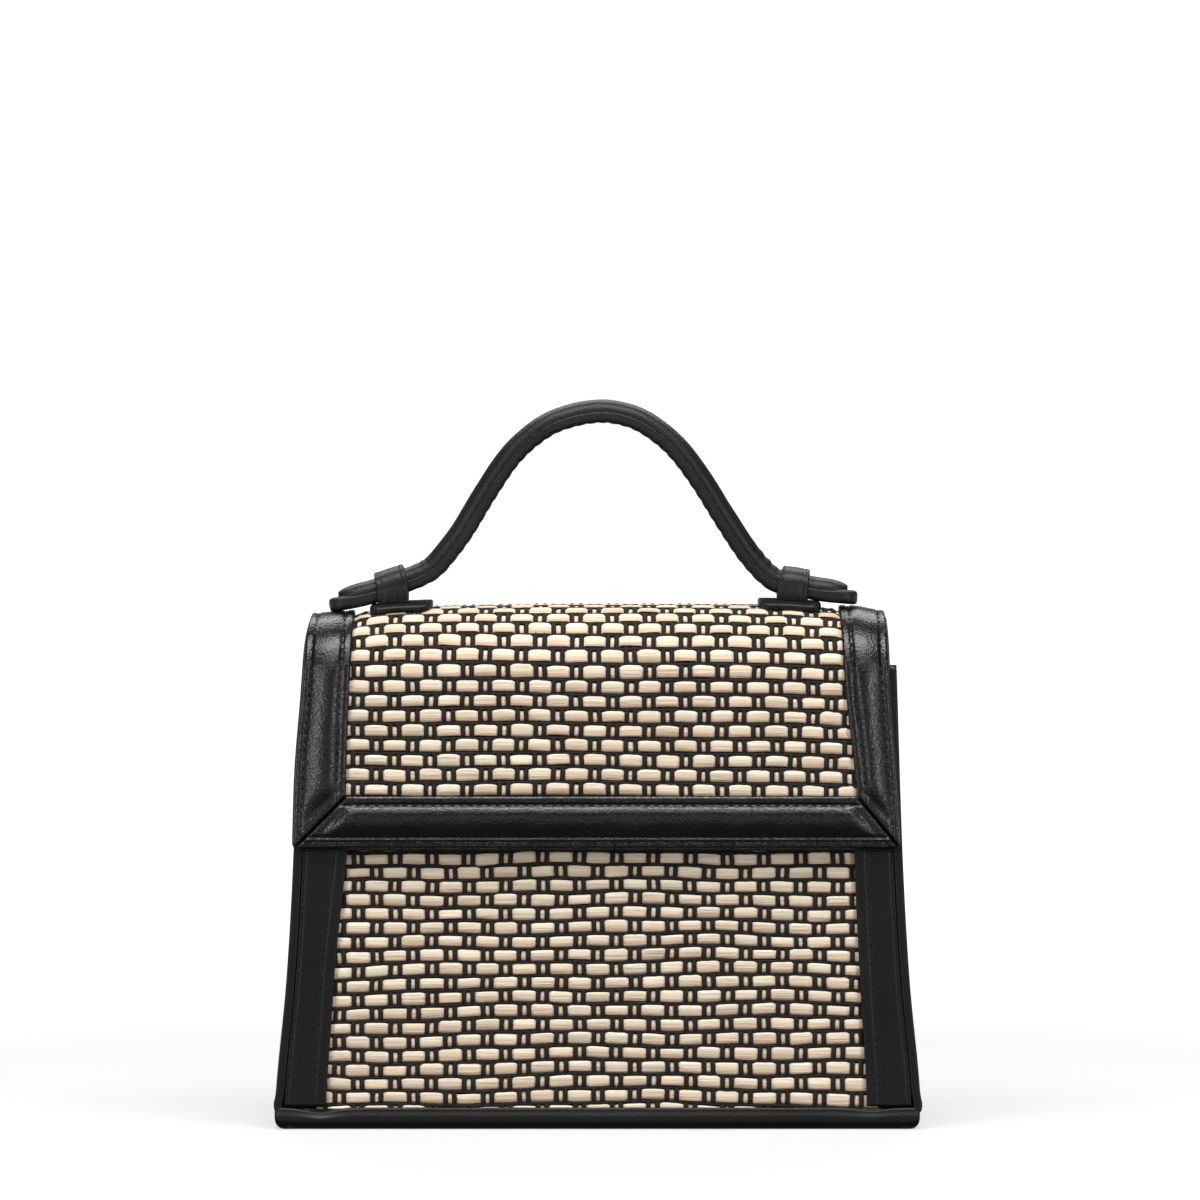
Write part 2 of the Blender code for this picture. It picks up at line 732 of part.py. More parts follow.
def clear_scene():
    for made in list(bpy.data.objects):
        bpy.data.objects.remove(made, do_unlink=True)
    parts = bpy.data.collections.new(COLLECTION)
    bpy.context.scene.collection.children.link(parts)


def main():
    clear_scene()
    base_panel()
    wall_panel("front_panel", -1, BODY_HEIGHT)
    wall_panel("back_panel", 1, BACK_HEIGHT)
    for side in ("left", "right"):
        wall_strip("front_trim_" + side, -1, side, BODY_HEIGHT)
        wall_strip("back_trim_" + side, 1, side, BACK_HEIGHT)
        gusset(side)
    magnetic_snap()
    flap_lining()
    flap_panel()
    for side in ("left", "right"):
        flap_trim_side(side)
    flap_trim_bottom()
    handle_strap()
    handle_roll()
    for holder in HOLDERS:
        handle_loop(holder)
        loop_tab(holder)


main()
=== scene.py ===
"""The looks of a small structured bag: woven raffia walls and flap, leather edges and a top handle.

Metres, +Z up, the front faces -Y. A piece is made of closed lofts through rings of points. The walls are
measured by x and z, and the flap by x and the length along its run, from its seam at the back to its front
edge.
"""

import math
from dataclasses import dataclass

import bpy
import numpy as np
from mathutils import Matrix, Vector


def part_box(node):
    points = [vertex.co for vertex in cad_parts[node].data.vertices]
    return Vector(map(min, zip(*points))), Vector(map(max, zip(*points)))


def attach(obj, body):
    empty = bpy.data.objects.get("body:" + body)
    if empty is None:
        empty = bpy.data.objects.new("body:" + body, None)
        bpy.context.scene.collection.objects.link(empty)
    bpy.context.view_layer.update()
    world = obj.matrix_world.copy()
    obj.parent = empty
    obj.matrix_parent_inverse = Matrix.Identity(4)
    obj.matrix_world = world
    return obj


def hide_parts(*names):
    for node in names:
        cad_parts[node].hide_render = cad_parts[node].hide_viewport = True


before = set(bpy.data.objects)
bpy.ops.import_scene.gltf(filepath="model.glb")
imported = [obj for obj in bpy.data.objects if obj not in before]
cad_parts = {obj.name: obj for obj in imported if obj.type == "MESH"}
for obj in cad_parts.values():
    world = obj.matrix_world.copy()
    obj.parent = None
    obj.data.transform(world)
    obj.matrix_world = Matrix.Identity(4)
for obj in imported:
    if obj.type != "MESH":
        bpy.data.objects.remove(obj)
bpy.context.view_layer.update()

# Sizes that the frame gives

BODY_WIDTH = 2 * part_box("gusset_right")[1].x
BODY_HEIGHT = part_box("front_panel")[1].z
BACK_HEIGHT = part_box("back_panel")[1].z
BASE_DEPTH = 2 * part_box("base_panel")[1].y
BASE_LIP_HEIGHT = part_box("base_panel")[1].z
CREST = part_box("flap_panel")[1].z
FLAP_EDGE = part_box("flap_lining")[0].z

# Sizes that are the same as those of the solids

BODY_TOP_DEPTH = 0.054
BASE_FLOOR = 0.0025
BASE_LIP_WALL = 0.002
BASE_EDGE_RADIUS = 0.003
PANEL_WALL = 0.0016
STRIP_WALL = 0.0014
STRIP_WIDTH = 0.0175
GUSSET_WALL = 0.0016
GUSSET_TUCK = 0.005
GUSSET_SEAM_MARGIN = 0.007
GUSSET_GROUND_GAP = 0.0005
GUSSET_SLOPE_END = 0.6
FLAP_WIDTH = 0.210
FLAP_TOP_FLAT = 0.008
FLAP_AIR = 0.0005
FLAP_DROOP = 0.0042
LINING_WALL = 0.001
LINING_MARGIN = 0.0006
TRIM_LEATHER = 0.0012
TRIM_LAP = 0.006
SIDE_TRIM_WIDTH = 0.0165
BOTTOM_TRIM_WIDTH = 0.0182
HANDLE_SPAN = 0.184
HANDLE_RISE = 0.0665
HANDLE_WIDTH = 0.015
STRAP_WALL = 0.0037
STRAP_END_WALL = 0.0047
STRAP_END_LENGTH = 0.022
STRAP_CORNER_RADIUS = 0.005
ROLL_WIDTH = 0.0125
ROLL_HEIGHT = 0.0041
ROLL_END_HEIGHT = 0.0036
ROLL_INSET = 0.0028
ROLL_TAPER = 0.0095
ROLL_TIP = 0.12
LOOP_LENGTH = 0.0105
LOOP_WALL = 0.0014
TAB_WIDTH = 0.0217
TAB_REACH = 0.024
TAB_WALL = 0.0022
TAB_CORNER_RADIUS = 0.004
FIT = 0.0003


def table(columns, *rows):
    """Rows of named values, from the names of the columns and each row's values."""
    return [dict(zip(columns.split(), row)) for row in rows]


SIDE_SEAM = table(
    "height width", (0.00, 0.990), (0.06, 1.000), (0.32, 0.967), (0.58, 0.947), (1.00, 0.929)
)

WALL_STRIPS = table(
    "height left right",
    (0.00, 0.91, 0.97),
    (0.20, 0.865, 0.91),
    (0.34, 0.835, 0.865),
    (0.45, 0.87, 0.855),
    (0.60, 0.955, 0.85),
    (1.00, 1.12, 0.80),
)

FLAP_OUTLINE = table(
    "run left right trim_left trim_right puff",
    (0.00, 0.972, 0.972, 0.93, 0.96, 0.4),
    (0.34, 0.955, 0.955, 0.93, 0.98, 0.2),
    (0.50, 0.967, 0.957, 0.98, 0.95, 0.5),
    (0.62, 0.977, 0.963, 0.99, 0.92, 1.0),
    (0.80, 0.996, 0.980, 1.06, 0.86, 1.0),
    (1.00, 1.004, 0.997, 1.09, 0.83, 1.0),
)

FLAP_SAG = table(
    "across drop",
    (-1.00, 0.80),
    (-0.95, 0.81),
    (-0.88, 0.93),
    (-0.80, 0.79),
    (-0.75, 0.56),
    (-0.65, 0.29),
    (-0.30, 0.04),
    (0.00, 0.00),
    (0.60, 0.07),
    (0.72, 0.28),
    (0.80, 0.43),
    (0.88, 0.56),
    (0.95, 0.58),
    (1.00, 0.60),
)

# Share of the step up on the woven panel, from a trim's inner edge to its outer edge
TRIM_SECTION = table(
    "across step", (0.00, 1.00), (0.25, 1.00), (0.48, 0.85), (0.70, 0.60), (0.88, 0.45), (1.00, 0.40)
)

HANDLE_LINE = table(
    "across rise",
    (-1.020, 0.022),
    (-0.885, 0.049),
    (-0.760, 0.098),
    (-0.652, 0.158),
    (-0.607, 0.206),
    (-0.515, 0.369),
    (-0.424, 0.576),
    (-0.333, 0.761),
    (-0.242, 0.881),
    (-0.150, 0.955),
    (0.000, 1.000),
    (0.121, 0.976),
    (0.212, 0.910),
    (0.303, 0.800),
    (0.393, 0.633),
    (0.485, 0.429),
    (0.576, 0.243),
    (0.666, 0.120),
    (0.750, 0.094),
    (0.850, 0.072),
    (0.983, 0.063),
)

HOLDERS = table("side loop tab", ("left", -0.775, -0.743), ("right", 0.735, 0.724))

# Sizes of the fine detail

SEAM_EDGE = 0.0031
SEAM_EDGE_DEPTH = 0.0034
SEAM_GROOVE = 0.0001
FLAP_CORNER_RADIUS = 0.003
BASE_CORNER = 0.0033
BASE_LEFT_REACH = 0.0013
BASE_RIGHT_REACH = 0.0008
VALLEY_DEPTH = 0.0004
VALLEY_WIDTH = 0.0006
TRIM_INNER_SEAM = 0.0032
SIDE_OUTER_SEAM = 0.0024
BOTTOM_OUTER_SEAM = 0.0040
EDGE_BAND = 0.0025
EDGE_BAND_DEPTH = 0.0007
PAD_RISE = 0.0015
PAD_PEAK = 0.36
STRIP_SEAM = 0.0042
STRIP_OUTER_SEAM = 0.0009
STITCH_PITCH = 0.0032
STITCH_LENGTH = 0.0021
STITCH_RADIUS = 0.00026
STITCH_RISE = STITCH_RADIUS * 0.4
HANDLE_STITCH_PITCH = 0.0043
HANDLE_STITCH_LENGTH = 0.0030
HANDLE_STITCH_RADIUS = 0.0003
LOOP_STITCH_PITCH = 0.0027
LOOP_STITCH_LENGTH = 0.0018
LOOP_STITCH_RADIUS = 0.00024
LOOP_SEAM = 0.0016
TRIM_EDGE_RADIUS = 0.0010
STRIP_EDGE_RADIUS = 0.0006
LINING_EDGE_RADIUS = 0.0004
TAB_EDGE_RADIUS = 0.0009
SEAM_END_ROUND = 0.002
SURFACE_WAVE = 0.00012
GUSSET_FOLD = 0.0005
GUSSET_FOOT_TUCK = 0.0022
GUSSET_LEAN_IN = 0.0016
SEAM_EAR = 0.0006
BASE_LEFT_DIP = 0.0016
BASE_RIGHT_DIP = 0.0009
STRAP_SCALLOP = 0.00028
STRAP_GROOVE = 0.00025
ROLL_WRINKLE = 0.00022
LOOP_CREASE = 0.00015
LOOP_BULGE = 0.00035
MITRE_REACH = 0.0022
MITRE_SLANT = 0.7
STRAP_LAP = 0.0003
LEATHER_STEP = 0.0009

# The weave

FLAP_PITCH = 0.01253
BODY_PITCH = 0.0127
FLAP_ROW = 0.0051
BODY_ROW = 0.00478
CORD_GAP = 0.00310
CORD_HALF_WIDTH = 0.00094
CORD_HALF_HEIGHT = 0.00045
THREAD_HALF_WIDTH = 0.00062
THREAD_HALF_HEIGHT = 0.00042
RIBBON_HALF_HEIGHT = 0.0003
ROW_GAP = 0.00120
WEAVE_DEPTH = 0.00062
WEAVE_LAP = 0.003
FLAP_START = -0.0012
CLOTH_WALL = 0.0003
FLOAT_HALF_SHARE = 0.31
CROSSING_WAVE = 0.00036
SEED = 7

# How much the floats differ, each as the spread of its random draws
FLOAT_SPREAD = {"width": 0.06, "shift": 0.10, "tilt": 0.16, "slant": 0.05, "tone": 0.035}

# A ribbon's section, in shares of its half width and half height
RIBBON_SECTION = np.array(
    [(-1, 0), (-0.9, 0.5), (-0.62, 0.88), (-0.2, 1), (0.2, 1), (0.62, 0.88), (0.9, 0.5), (1, 0)]
    + [(0.6, -0.8), (-0.6, -0.8)]
)
THREAD_SIDES = np.linspace(0, 2 * math.pi, 6, endpoint=False)[None, :] + math.pi / 6


def read(table, key, share, column):
    """Smooth values of one column at shares of the key column, held flat past both ends."""
    keys = np.array([row[key] for row in table])
    values = np.array([row[column] for row in table])
    last = len(keys) - 1
    before = np.maximum(np.arange(last + 1) - 1, 0)
    after = np.minimum(np.arange(last + 1) + 1, last)
    slopes = (values[after] - values[before]) / (keys[after] - keys[before])
    share = np.clip(share, keys[0], keys[-1])
    low = np.clip(np.searchsorted(keys, share, side="right") - 1, 0, last - 1)
    step = keys[low + 1] - keys[low]
    t = (share - keys[low]) / step
    return (
        values[low] * (2 * t**3 - 3 * t**2 + 1)
        + slopes[low] * step * (t**3 - 2 * t**2 + t)
        + values[low + 1] * (3 * t**2 - 2 * t**3)
        + slopes[low + 1] * step * (t**3 - t**2)
    )


def hump(distance, width):
    """1 at no distance, and less on both sides of it, over about one width."""
    return np.exp(-((distance / width) ** 2))


def signed_power(value, power):
    return np.sign(value) * np.abs(value) ** power


# The body's walls

FACE_BASE = BASE_DEPTH / 2 - BASE_LIP_WALL - FIT
FACE_TOP = BODY_TOP_DEPTH / 2
LEAN = math.atan((FACE_BASE - FACE_TOP) / BODY_HEIGHT)


def face_y(z):
    return FACE_BASE - z * math.tan(LEAN)


def side_x(z):
    """Half the body's width at a height, over the gussets."""
    return BODY_WIDTH / 2 * read(SIDE_SEAM, "height", z / BODY_HEIGHT, "width")


def inside_x(z):
    return side_x(z) - GUSSET_WALL - FIT


def strip_width(z, side):
    return STRIP_WIDTH * read(WALL_STRIPS, "height", z / BODY_HEIGHT, side)


def points(x, y, z):
    """One array of points from three arrays that broadcast together."""
    return np.stack(np.broadcast_arrays(x, y, z), axis=-1).astype(float)


def wall_point(x, z, height, facing):
    """A point over the outer face of the front or back wall. facing is -1 for the front."""
    out = face_y(z) + height * math.cos(LEAN)
    return points(x, facing * out, z + height * math.sin(LEAN))


# The flap's run

PANEL_UNDER = LINING_WALL + FIT
PANEL_TOP = PANEL_UNDER + PANEL_WALL
TRIM_OVER_PANEL = PANEL_TOP + FIT
FRONT_STANDOFF = FIT + STRIP_WALL + FLAP_AIR
BACK_STANDOFF = -PANEL_TOP
BACK_SEAM = BACK_HEIGHT + FIT
SPAN = (2 * FACE_BASE - FLAP_TOP_FLAT) * math.cos(LEAN) + FRONT_STANDOFF + BACK_STANDOFF
BEND = (SPAN - 2 * math.sin(LEAN) * (CREST - PANEL_TOP)) / (2 * (1 - math.sin(LEAN)))
BEND_Z = CREST - PANEL_TOP - BEND
FRONT_BEND_Y = -FACE_BASE + (BEND - FRONT_STANDOFF + BEND_Z * math.sin(LEAN)) / math.cos(LEAN)
BACK_BEND_Y = FRONT_BEND_Y + FLAP_TOP_FLAT
TANGENT_Z = BEND_Z + BEND * math.sin(LEAN)
BEND_LENGTH = BEND * (math.pi / 2 - LEAN)
BACK_LENGTH = (TANGENT_Z - BACK_SEAM) / math.cos(LEAN)
FRONT_LENGTH = (TANGENT_Z - FLAP_EDGE) / math.cos(LEAN)
RUN = BACK_LENGTH + 2 * BEND_LENGTH + FLAP_TOP_FLAT + FRONT_LENGTH
TOP_MIDDLE = BACK_LENGTH + BEND_LENGTH + FLAP_TOP_FLAT / 2
TOP_Y = (FRONT_BEND_Y + BACK_BEND_Y) / 2
TRIM_END = RUN - LINING_MARGIN
MITRE_START = TRIM_END - BOTTOM_TRIM_WIDTH
MITRE_BLEND = 0.80


def flap_line(s):
    """y, z and the outward normal's y and z of the lining's inner face at lengths along the run."""
    s = np.asarray(s, float)
    first_bend = np.clip(s - BACK_LENGTH, 0, BEND_LENGTH)
    flat = np.clip(s - BACK_LENGTH - BEND_LENGTH, 0, FLAP_TOP_FLAT)
    front_start = RUN - FRONT_LENGTH
    second_bend = np.clip(s - front_start + BEND_LENGTH, 0, BEND_LENGTH)
    back = np.maximum(BACK_LENGTH - s, 0)
    front = np.maximum(s - front_start, 0)
    turn = LEAN + (first_bend + second_bend) / BEND
    out_y, out_z = np.cos(turn), np.sin(turn)
    y = BACK_BEND_Y - flat + BEND * out_y + (back - front) * math.sin(LEAN)
    z = BEND_Z + BEND * out_z - (back + front) * math.cos(LEAN)
    return y, z, out_y, out_z


def sag(x):
    """How far the flap's top hangs below its crest at x."""
    return FLAP_DROOP * read(FLAP_SAG, "across", x / (FLAP_WIDTH / 2), "drop")


def flap_point(x, s, height):
    """A point at x, at a length along the flap's run and a height above the lining's inner face."""
    y, z, out_y, out_z = flap_line(s)
    return points(x, y + height * out_y, z + height * out_z - sag(x) * out_z**2)


def flap_normal(s):
    _, _, out_y, out_z = flap_line(s)
    return points(0.0, out_y, out_z)


def flap_top_z(x, y, height):
    past = np.maximum(np.maximum(FRONT_BEND_Y - y, y - BACK_BEND_Y), 0.0)
    radius = BEND + height
    rise = np.sqrt(radius**2 - past**2)
    return BEND_Z + rise - sag(x) * (rise / radius) ** 2


def flap_half(s, side):
    return FLAP_WIDTH / 2 * read(FLAP_OUTLINE, "run", s / RUN, side)


def side_trim_width(s, side):
    return SIDE_TRIM_WIDTH * read(FLAP_OUTLINE, "run", s / RUN, "trim_" + side)


def trim_x(s, side, across):
    """x of a point across a side trim: 0 is its inner edge and 1 its outer edge."""
    outer = flap_half(s, side) - LINING_MARGIN
    sign = -1 if side == "left" else 1
    return sign * (outer - side_trim_width(s, side) * (1 - across))


def round_corners(x, s, margin):
    """Moves x and s near the flap's two front corners so that the square corners become round."""
    half = np.where(x < 0, flap_half(s, "left"), flap_half(s, "right")) - margin
    near_side = np.maximum(1 - (half - np.abs(x)) / FLAP_CORNER_RADIUS, 0)
    near_end = np.maximum(1 - (RUN - margin - s) / FLAP_CORNER_RADIUS, 0)
    length = np.hypot(near_side, near_end)
    pull = np.where(length > 0, np.maximum(near_side, near_end) / np.maximum(length, 1e-9), 1)
    pull = np.where((near_side > 0) & (near_end > 0), pull, 1)
    x = x - np.sign(x) * near_side * (1 - pull) * FLAP_CORNER_RADIUS
    return x, s - near_end * (1 - pull) * FLAP_CORNER_RADIUS


# Building meshes


def ripple(place, size, seed):
    """Smooth noise from about -1 to 1, with waves of about one size."""
    draw = np.random.default_rng(seed)
    waves = 7
    total = np.zeros(place.shape[:-1])
    for _ in range(waves):
        direction = draw.normal(size=3)
        direction /= np.linalg.norm(direction)
        length = size * draw.uniform(0.7, 1.6)
        total += np.sin(place @ direction * (2 * math.pi / length) + draw.uniform(0, 2 * math.pi))
    return total / waves * 1.6


def fillet(distance, radius):
    """How far a rounded edge lies below its flat top at a distance from the edge."""
    inset = np.clip(1 - distance / radius, 0, 1)
    return radius * (1 - np.sqrt(1 - inset**2))


def spaced(length, step, rim=0.0, rim_steps=5):
    """Distances from 0 to length, even in the middle and closer within a rounded rim at both ends."""
    turns = np.linspace(0, math.pi / 2, rim_steps)
    near = rim * (1 - np.cos(turns))
    count = max(int(round((length - 2 * rim) / step)), 1)
    middle = np.linspace(rim, length - rim, count + 1)
    if rim == 0:
        return middle
    return np.concatenate([near[:-1], middle, (length - near[:-1])[::-1]])


def put_in_scene(name, data):
    made = bpy.data.objects.new(name, data)
    bpy.context.scene.collection.objects.link(made)
    return made


class Shape:
    """Gathers closed lofts and makes one mesh of them, with a value for each point in named attributes."""

    def __init__(self):
        self.places = []
        self.faces = []
        self.values = {}
        self.count = 0

    def add(self, rings, **values):
        """A closed body through rings of points, (ring, point, xyz), capped at both ends."""
        rows, around = rings.shape[:2]
        flat = rings.reshape(-1, 3)
        row = np.arange(rows - 1)[:, None] * around
        column = np.arange(around)[None, :]
        beside = (column + 1) % around
        quads = np.stack(
            [row + column, row + beside, row + beside + around, row + column + around], axis=-1
        ).reshape(-1, 4)
        near = flat - flat.mean(axis=0)
        corner = near[quads]
        volume = np.einsum("ij,ij->", corner[:, 0], np.cross(corner[:, 1], corner[:, 2]))
        volume += np.einsum("ij,ij->", corner[:, 0], np.cross(corner[:, 2], corner[:, 3]))
        first = np.arange(around)[::-1]
        last = np.arange(around) + (rows - 1) * around
        if volume < 0:
            quads, first, last = quads[:, ::-1], first[::-1], last[::-1]
        self.faces.append(quads + self.count)
        self.faces.append((first + self.count)[None, :])
        self.faces.append((last + self.count)[None, :])
        self.places.append(flat)
        for name, value in values.items():
            self.values.setdefault(name, []).append(np.broadcast_to(value, (rows, around)).ravel())
        self.count += rows * around

    def make(self, name, material, slot, replaces, sharp=60):
        """The object, which rides on the bag and stands for its solids."""
        place = np.concatenate(self.places)
        corners = np.concatenate([part.ravel() for part in self.faces])
        sizes = np.concatenate([np.full(len(part), part.shape[1]) for part in self.faces])
        mesh = bpy.data.meshes.new(name)
        mesh.vertices.add(len(place))
        mesh.vertices.foreach_set("co", place.astype(np.float32).ravel())
        mesh.loops.add(len(corners))
        mesh.loops.foreach_set("vertex_index", corners.astype(np.int32))
        mesh.polygons.add(len(sizes))
        starts = np.concatenate([[0], np.cumsum(sizes)[:-1]])
        mesh.polygons.foreach_set("loop_start", starts.astype(np.int32))
        mesh.update(calc_edges=True)
        mesh.validate()
        for key, parts in self.values.items():
            attribute = mesh.attributes.new(key, "FLOAT", "POINT")
            attribute.data.foreach_set("value", np.concatenate(parts).astype(np.float32))
        mesh.shade_smooth()
        mesh.set_sharp_from_angle(angle=math.radians(sharp))
        mesh.materials.append(material)
        made = put_in_scene(name, mesh)
        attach(made, "root")
        if replaces:
            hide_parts(*replaces)
        return made


def piece(rings, *made):
    """A piece that is one closed loft."""
    shape = Shape()
    shape.add(rings)
    return shape.make(*made)


def slab_rings(place, across, along, top, under, back=None, wave=None):
    """Rings of a flat body: its top from one side to the other, and back along its under side.

    place gives points from distances across and along and a height. top and under are heights, or functions
    that give them. back is the distances across of the under side, and wave gives small moves of the top.
    """

    def surface(across, height):
        grid = across[None, :], along[:, None]
        return place(*grid, height(*grid) if callable(height) else height)

    upper = surface(across, top)
    if wave:
        upper = upper + wave(upper)
    lower = surface(across[::-1] if back is None else back, under)
    return np.concatenate([upper, lower], axis=1)


def waves(direction, depth, size, seed):
    """Small moves of points along a direction, for a surface that isn't quite even."""
    return lambda place: direction * (depth * ripple(place, size, seed))[..., None]


def stitch_row(shape, line, normals, pitch=STITCH_PITCH, length=STITCH_LENGTH, radius=STITCH_RADIUS):
    """Short threads along a line of points, whose ends dip into the leather."""
    steps = np.linalg.norm(np.diff(line, axis=0), axis=1)
    lengths = np.concatenate([[0], np.cumsum(steps)])
    count = int((lengths[-1] - length) / pitch)
    start = (lengths[-1] - count * pitch) / 2
    sides = np.linspace(0, 2 * math.pi, 6, endpoint=False)
    stations = np.array([-0.5, -0.42, -0.2, 0.2, 0.42, 0.5])
    girth = np.array([0.35, 0.85, 1.0, 1.0, 0.85, 0.35])
    dips = np.array([1.3, 0.55, 0.0, 0.0, 0.55, 1.3])
    for i in range(count + 1):
        at = start + i * pitch + stations * length
        centre = np.stack([np.interp(at, lengths, line[:, axis]) for axis in range(3)], axis=-1)
        up = np.stack([np.interp(at, lengths, normals[:, axis]) for axis in range(3)], axis=-1)
        forward = centre[-1] - centre[0]
        forward /= np.linalg.norm(forward)
        centre = centre - up * (dips * radius)[:, None]
        rings = centre[:, None, :]
        for direction, turn in ((np.cross(up, forward), np.cos(sides)), (up, np.sin(sides))):
            rings = rings + direction[:, None, :] * (turn * radius)[None, :, None] * girth[:, None, None]
        shape.add(rings)


# Materials


def set_inputs(tree, node, inputs):
    """Gives a node's inputs their values. An input is a value, or another node's output to link."""
    for key, value in inputs.items():
        if isinstance(value, bpy.types.NodeSocket):
            tree.links.new(value, node.inputs[key])
        else:
            node.inputs[key].default_value = value


def add_node(tree, kind, settings=None, inputs=None):
    made = tree.nodes.new(kind)
    for key, value in (settings or {}).items():
        setattr(made, key, value)
    set_inputs(tree, made, inputs or {})
    return made


def ramp(tree, factor, stops):
    """A colour ramp's colour output. stops are (position, colour)."""
    made = add_node(tree, "ShaderNodeValToRGB", inputs={"Fac": factor})
    band = made.color_ramp
    band.elements[0].position, band.elements[-1].position = stops[0][0], stops[-1][0]
    for position, _ in stops[1:-1]:
        band.elements.new(position)
    for element, (_, colour) in zip(band.elements, stops):
        element.color = (*colour, 1.0)
    return made.outputs["Color"]


def start_material(name):
    made = bpy.data.materials.new(name)
    made.use_nodes = True
    tree = made.node_tree
    place = add_node(tree, "ShaderNodeTexCoord").outputs["Object"]
    return made, tree, tree.nodes["Principled BSDF"], place


def noise(tree, place, scale, detail=2.0, stretch=None):
    """A noise texture's value output. stretch scales the three axes apart."""
    if stretch:
        place = add_node(tree, "ShaderNodeMapping", inputs={"Vector": place, "Scale": stretch}).outputs[0]
    return add_node(
        tree, "ShaderNodeTexNoise", inputs={"Vector": place, "Scale": scale, "Detail": detail}
    ).outputs[0]


def blend_value(tree, factor, low, high):
    """A value from low to high as the factor goes from 0 to 1."""
    return add_node(
        tree, "ShaderNodeMapRange", inputs={"Value": factor, "To Min": low, "To Max": high}
    ).outputs[0]


def multiply_add(tree, value, factor, more):
    inputs = {0: value, 1: factor, 2: more}
    return add_node(tree, "ShaderNodeMath", {"operation": "MULTIPLY_ADD"}, inputs).outputs[0]


def bump(tree, height, strength, distance):
    inputs = {"Height": height, "Strength": strength, "Distance": distance}
    return add_node(tree, "ShaderNodeBump", inputs=inputs).outputs[0]


def attribute(tree, name):
    return add_node(tree, "ShaderNodeAttribute", {"attribute_name": name}).outputs["Fac"]


def leather_material(name, dark, light, rough, grain=1.0, specular=0.3):
    """Black leather: fine pebbled grain, faint cloudy tone and uneven gloss."""
    made, tree, shader, place = start_material(name)
    cloud = noise(tree, place, 60.0, 3.0)
    fine = noise(tree, place, 900.0, 2.0)
    gloss = multiply_add(tree, fine, 0.5, multiply_add(tree, cloud, 0.5, 0.0))
    inputs = {"Vector": place, "Scale": 1500.0, "Smoothness": 0.5}
    cells = add_node(tree, "ShaderNodeTexVoronoi", {"feature": "SMOOTH_F1"}, inputs).outputs["Distance"]
    height = multiply_add(tree, noise(tree, place, 350.0, 3.0), 0.8, cells)
    looks = {
        "Base Color": ramp(tree, cloud, [(0.35, dark), (0.70, light)]),
        "Roughness": blend_value(tree, gloss, rough - 0.07, rough + 0.09),
        "Normal": bump(tree, height, 0.5 * grain, 0.0002),
        "Specular IOR Level": specular,
    }
    set_inputs(tree, shader, looks)
    return made


def raffia_material():
    """Raffia strips: cream to tan, each float in a tone of its own, with fine fibres along x and painted
    shade.
    """
    made, tree, shader, place = start_material("raffia")
    fibre = noise(tree, place, 1.0, 3.0, (90.0, 3600.0, 3600.0))
    streak = noise(tree, place, 1.0, 2.0, (45.0, 1100.0, 1100.0))
    shade = attribute(tree, "tone")
    # Painted shade: across lightens each float's upper edge and darkens its lower edge.
    for value, share in ((streak, 0.75), (fibre, 0.35), (attribute(tree, "across"), 0.22)):
        shade = multiply_add(tree, value, share, shade)
    stops = [
        (0.08, (0.26, 0.15, 0.08)),
        (0.26, (0.52, 0.37, 0.25)),
        (0.46, (0.64, 0.50, 0.37)),
        (0.66, (0.72, 0.62, 0.48)),
        (0.88, (0.79, 0.72, 0.60)),
    ]
    looks = {
        "Base Color": ramp(tree, shade, stops),
        "Roughness": blend_value(tree, fibre, 0.5, 0.75),
        "Normal": bump(tree, multiply_add(tree, streak, 2.0, fibre), 0.7, 0.00022),
        "Specular IOR Level": 0.35,
    }
    set_inputs(tree, shader, looks)
    return made


def yarn_material(name, dark, light):
    """Matt dark yarn with short twisted fibres."""
    made, tree, shader, place = start_material(name)
    fibre = noise(tree, place, 2600.0, 3.0)
    looks = {
        "Base Color": ramp(tree, fibre, [(0.3, dark), (0.75, light)]),
        "Roughness": 0.85,
        "Normal": bump(tree, fibre, 0.8, 0.0002),
        "Specular IOR Level": 0.25,
    }
    set_inputs(tree, shader, looks)
    return made


def metal_material():
    """Plain brushed steel."""
    made, tree, shader, place = start_material("snap_steel")
    lines = noise(tree, place, 1.0, 2.0, (300.0, 5000.0, 5000.0))
    looks = {
        "Base Color": ramp(tree, lines, [(0.3, (0.35, 0.35, 0.37)), (0.7, (0.52, 0.52, 0.54))]),
        "Roughness": blend_value(tree, lines, 0.25, 0.4),
        "Metallic": 1.0,
    }
    set_inputs(tree, shader, looks)
    return made


LEATHER = leather_material(
    "black_leather", (0.0016, 0.0016, 0.0017), (0.0032, 0.0031, 0.0030), 0.26, 1.0, 0.5
)
WALL_LEATHER = leather_material(
    "wall_leather", (0.0014, 0.0014, 0.0015), (0.0028, 0.0027, 0.0026), 0.40, 0.5
)
HANDLE_LEATHER = leather_material(
    "handle_leather", (0.0065, 0.0058, 0.0055), (0.0120, 0.0104, 0.0098), 0.42, 0.8
)
LINING = leather_material("lining_leather", (0.006, 0.0055, 0.0055), (0.011, 0.010, 0.009), 0.50, 0.6)
RAFFIA = raffia_material()
YARN = yarn_material("dark_yarn", (0.009, 0.0060, 0.0045), (0.028, 0.0195, 0.0150))
CLOTH = yarn_material("dark_cloth", (0.006, 0.0045, 0.0036), (0.014, 0.0105, 0.0085))
STITCH = yarn_material("stitch_thread", (0.006, 0.006, 0.006), (0.016, 0.015, 0.015))


# The weave


